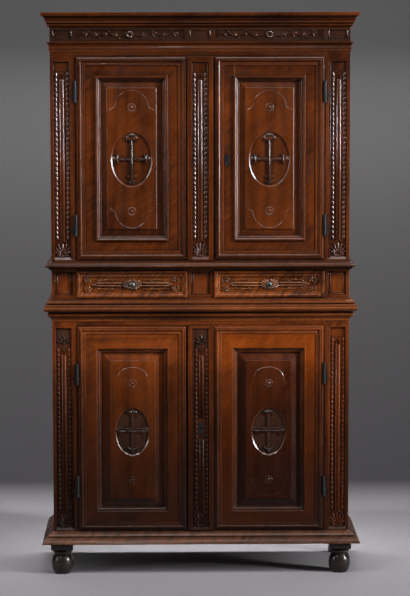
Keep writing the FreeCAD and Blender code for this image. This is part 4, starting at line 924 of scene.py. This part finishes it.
def lower_frame_lines(x, z, field):
    bm = bmesh.new()
    rings = []
    for inset in rim_insets:
        ring = arc_points(x, z, 0.067 - inset, 0.0945 - inset, 0, 140, 15)
        ring += [(x + 0.027, z - 0.0865 + inset), (x, z - 0.0965 + inset)]
        rings.append(ring + [(2 * x - spot[0], spot[1]) for spot in reversed(ring[1:-1])])
    oval_slope(bm, *rings, field)
    for up, arch_height in ((-1, 0.0005), (1, 0.0015)):
        middle = z + up * 0.196
        arch = arc_points(x, middle + up * 0.026, 0.056, up * 0.034, -90, 90, 9)
        carved_line(bm, arch, 0.0026, arch_height, field)
        foot = ((0.056, 0.026), (0.056, -0.004), (0.072, -0.004))
        for side in (-1, 1):
            carve(bm, x, middle, ((foot, *fine_line, field),), side, up)
        ringed_button(bm, x, middle - up * 0.004, 0.0145, field)
    for side in (-1, 1):
        carved_line(bm, [(x + side * 0.072, z - 0.192), (x + side * 0.072, z + 0.192)], 0.0016, 0.0005, field)
    return bm


cross_walnut = walnut(
    "cross_walnut", (0.06, 0.02, 0.009), (0.014, 0.006, 0.003), wear=0.3, wax_and_shade=1.0, reach=0.008,
    coat=0.5, offset=2.6)
line_walnut = walnut(
    "field_line_walnut", (0.17, 0.036, 0.005), (0.04, 0.009, 0.002), wear=0.3, reach=0.008, coat=0.2,
    offset=7.7)
crosses = (("upper", 0.003, upper_cross, upper_frame_lines), ("lower", 0.007, lower_cross, lower_frame_lines))
for stage, below_middle, cross, lines in crosses:
    for side in ("left", "right"):
        leaf = stage + "_" + side
        low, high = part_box(leaf + "_door_panel")
        x = round((low.x + high.x) / 2, 4)
        z = round((low.z + high.z) / 2 - below_middle, 4)
        carved(leaf + "_cross_carving", cross(x, z, low.y + oval_depth), leaf + "_door", cross_walnut)
        carved(leaf + "_field_lines", lines(x, z, low.y), leaf + "_door", line_walnut)

# The belt of the upper stage: two walnut drawer fronts with a mitred edge moulding round a sunk
# carved panel, and three plain blocks, each with a bead round its sunk panel.

dress(["belt_post"], rail_walnut)
drawer_walnut = walnut(
    "drawer_front_walnut", (0.2, 0.046, 0.007), (0.022, 0.006, 0.002), "across", figure=0.6, wear=0.4,
    offset=10.4, coat=0.15)
dress(["left_drawer_front", "right_drawer_front"], drawer_walnut)
drawer_low, drawer_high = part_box("right_drawer_front")
drawer_x = (drawer_low.x + drawer_high.x) / 2
drawer_middles = (("left", -drawer_x), ("right", drawer_x))
drawer_z = (drawer_low.z + drawer_high.z) / 2
drawer_panel_depth = 0.007
drawer_ground = drawer_low.y + drawer_panel_depth
rosette_leaves = (
    (20, 0.026), (42, 0.03), (62, 0.036), (80, 0.042), (100, 0.042), (118, 0.036), (138, 0.03), (160, 0.026),
)


def petals(bm, x, z, turns, inner, outer, width, height, ground, **shape):
    """Lobes round (x, z) at the given turns in degrees, out to an oval's half axes."""
    for turn in turns:
        across, along = math.sin(math.radians(turn)), math.cos(math.radians(turn))
        foot = (x + across * inner, z + along * inner)
        tip = (x + across * outer[0], z + along * outer[1])
        carved_lobe(bm, foot, tip, width, height, ground, **shape)


def drawer_carving(x):
    """Flutes, flowers and curls on both sides of a rosette, between two rows of beads."""
    bm = bmesh.new()
    z = drawer_z
    for side in (-1, 1):
        for up in (-1, 1):
            flute = ((0.04, 0.0055), (0.146, 0.0048))
            carve(bm, x, z, ((flute, 0.0075, 0.005, drawer_ground),), side, up)
        carve(bm, x, z, ((((0.138, 0), (0.16, 0)), 0.01, 0.0042, drawer_ground, {"taper": 0.7}),), side)
        for turn, reach in rosette_leaves:
            angle = math.radians(turn)
            tip = (x + side * math.sin(angle) * reach, z + math.cos(angle) * reach * 0.85)
            foot = (x + side * math.sin(angle) * 0.009, z + math.cos(angle) * 0.009)
            carved_lobe(bm, foot, tip, 0.011, 0.006, drawer_ground, taper=0.35)
        for up in (-1, 1):
            flower_x, flower_z = x + side * 0.166, z + up * 0.019
            turns = range(10, 370, 72)
            out = (0.012, 0.012)
            petals(bm, flower_x, flower_z, turns, 0.002, out, 0.0065, 0.0038, drawer_ground, taper=0.2)
            carved_lobe(
                bm, (flower_x - 0.002, flower_z), (flower_x + 0.002, flower_z), 0.005, 0.005, drawer_ground)
            carve(bm, x, z, (
                (((0.176, 0.004, 0.5), (0.182, 0.012, 1.0), (0.183, 0.022, 1.0), (0.176, 0.03, 0.5)),
                 0.005, 0.0042, drawer_ground),
                (((0.046, 0.017, 0.5), (0.075, 0.021, 1.0), (0.11, 0.015, 1.0), (0.146, 0.019, 0.6)),
                 0.0042, 0.0034, drawer_ground),
            ), side, up)
            for step in range(3):
                leaf = ((0, 0.017), (0.015, 0.012 + 0.012 * (step % 2)))
                leaf_x = x + side * (0.07 + step * 0.026)
                carve(bm, leaf_x, z, ((leaf, 0.0065, 0.0038, drawer_ground, {"taper": 0.6}),), side, up)
            for number in range(27):
                bead_x = x + side * (0.01 + number * 0.0064)
                bead = ((-0.0014, 0.0305), (0.0014, 0.0305))
                shape = {"sides": 6, "rings": 4}
                carve(bm, bead_x, z, ((bead, 0.0052, 0.0044, drawer_ground, shape),), 1, up)
    return bm


# The carving is lighter than the walnut of its ground, partly for wear on the high spots and partly as
# painted light on the relief.
drawer_carved_walnut = walnut(
    "drawer_carved_walnut", (0.26, 0.078, 0.018), (0.05, 0.014, 0.004), "across", wear=0.3, wax_and_shade=1.0,
    reach=0.007, coat=0.4, offset=3.8)
for side, x in drawer_middles:
    carved(side + "_drawer_carving", drawer_carving(x), side + "_drawer", drawer_carved_walnut)

block_low = 1.107
block_high = 1.199
block_beads = bmesh.new()
for x, half in ((-0.5325, 0.0355), (0.0, 0.038), (0.5325, 0.0355)):
    for inset, width, height in ((0.003, 0.0042, 0.0046), (0.01, 0.0026, 0.002)):
        low, high, reach = block_low + inset, block_high - inset, half - inset
        corners = [(x - reach, low), (x + reach, low), (x + reach, high), (x - reach, high)]
        for start, end in zip(corners, corners[1:] + corners[:1]):
            carved_lobe(block_beads, start, end, width, height, post_ground)
carved("belt_block_beads", block_beads, "carcass", carved_walnut)

# The frieze: a walnut board with two long sunk panels, each carved with a flower between leafy
# scrolls, and three short ones that are plain but for a bead round their edges.

# The frieze walnut is darker than the carcass's, partly for age and partly as painted shade under the
# cornice.
frieze_walnut = walnut(
    "frieze_walnut", (0.1, 0.03, 0.01), (0.022, 0.008, 0.004), "across", wear=0.8, offset=6.6)
dress(["frieze_boards"], frieze_walnut)
frieze_low, frieze_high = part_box("frieze_boards")
frieze_panel_depth = 0.004
frieze_ground = frieze_low.y + frieze_panel_depth
frieze_z = (frieze_low.z + frieze_high.z) / 2


def frieze_scroll(bm, x, reach, side):
    """Half of a panel: a winding stem with a leaf at each bend and a curled end."""
    z = frieze_z
    bends = 4
    stem = [(x + side * 0.016, z, 0.7)]
    for number in range(bends):
        middle = 0.03 + (reach - 0.045) * (number + 0.5) / bends
        up = 1 if number % 2 else -1
        stem.append((x + side * middle, z + up * 0.0125, 1.0))
        leaf = x + side * (middle - 0.004)
        for turn, length in ((35, 0.02), (75, 0.023), (115, 0.02)):
            angle = math.radians(turn)
            tip_z = z - up * math.cos(angle) * length * 0.7 + up * 0.002
            tip = (leaf + side * math.sin(angle) * length, tip_z)
            carved_lobe(bm, (leaf, z + up * 0.004), tip, 0.0085, 0.0048, frieze_ground, taper=0.5)
        bud = ((-0.01, 0.011), (0.006, 0.0155))
        carve(bm, leaf, z, ((bud, 0.007, 0.0048, frieze_ground, {"taper": 0.3}),), side, up)
    stem.append((x + side * (reach - 0.006), z, 0.8))
    carved_line(bm, stem, 0.0058, 0.005, frieze_ground)
    curl = [
        (x + side * (reach - 0.01) + 0.011 * (1 - share) * math.sin(6.5 * share) * side,
         z + 0.012 * (1 - share) * math.cos(6.5 * share), 1 - 0.5 * share)
        for share in (0.0, 0.15, 0.3, 0.45, 0.6, 0.75, 0.9)
    ]
    carved_line(bm, curl, 0.0046, 0.0044, frieze_ground)


frieze = bmesh.new()
for x, left_reach, right_reach in ((-0.272, 0.2, 0.208), (0.268, 0.204, 0.204)):
    frieze_scroll(frieze, x, left_reach, -1)
    frieze_scroll(frieze, x, right_reach, 1)
    turns = range(22, 382, 45)
    petals(
        frieze, x, frieze_z, turns, 0.004, (0.0175, 0.016), 0.01, 0.0058, frieze_ground, taper=0.1, lean=-0.4)
    carved_lobe(frieze, (x - 0.002, frieze_z), (x + 0.002, frieze_z), 0.009, 0.006, frieze_ground)
for low_x, high_x in ((-0.571, -0.494), (-0.041, 0.041), (0.494, 0.571)):
    for x in (low_x + 0.003, high_x - 0.003):
        carved_lobe(frieze, (x, 2.1), (x, 2.134), 0.006, 0.0052, frieze_ground, sides=10)
    for z in (2.1015, 2.1325):
        carved_lobe(frieze, (low_x + 0.004, z), (high_x - 0.004, z), 0.003, 0.003, frieze_ground)
carved("frieze_carving", frieze, "carcass", carved_walnut)

# The ironwork is forged and left dark: pin hinges, locks with their keyhole plates, slip bolts
# and the two drawer knobs.


def dark_iron(name, color, roughness):
    made, tree, shader, place = new_finish(name)
    shader.inputs["Metallic"].default_value = 0.85
    dents = noise_node(tree, place, 160, 3.0)
    tone = mix_node(tree, "RGBA", ranged(tree, dents, 0.3, 0.7), (*[c * 0.5 for c in color], 1), (*color, 1))
    tree.links.new(tone, shader.inputs["Base Color"])
    rough = ranged(tree, dents, 0.2, 0.8, roughness - 0.1, roughness + 0.15)
    tree.links.new(rough, shader.inputs["Roughness"])
    add_bump(tree, shader, dents, 0.5, 0.0008)
    return made


forged_iron = dark_iron("forged_iron", (0.03, 0.031, 0.034), 0.45)
irons = both("left_door_irons", "right_door_irons", "lock_case", "lock_bolt", "slip_bolt")
dress(["hinge_pins", *irons], forged_iron, 0.0003)

knob_iron = dark_iron("knob_iron", (0.1, 0.095, 0.088), 0.34)
knob_profile = (
    (0, 0.018), (0.0045, 0.0176), (0.008, 0.0162), (0.0105, 0.0138), (0.0115, 0.011), (0.0108, 0.0085),
    (0.008, 0.0064), (0.0052, 0.0054), (0.0046, 0.0044), (0.005, 0.0034), (0.0085, 0.003), (0.0115, 0.0024),
    (0.0125, 0.0012), (0.0125, -0.0005), (0, -0.0005),
)
for side, x in drawer_middles:
    bm = bmesh.new()
    outline = [(x + radius, drawer_ground - reach, drawer_z) for radius, reach in knob_profile]
    turning(bm, outline, (x, 0, drawer_z), (0, 1, 0), 28)
    bmesh.ops.remove_doubles(bm, verts=bm.verts, dist=same_point)
    drop = bmesh.ops.create_uvsphere(bm, u_segments=12, v_segments=8, radius=0.0036)["verts"]
    bmesh.ops.scale(bm, verts=drop, vec=(1, 1, 1.6))
    bmesh.ops.translate(bm, verts=drop, vec=(x, drawer_ground - 0.009, drawer_z - 0.015))
    knob = finished(side + "_turned_knob", bm, side + "_drawer", knob_iron)
    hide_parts(side + "_drawer_knob")
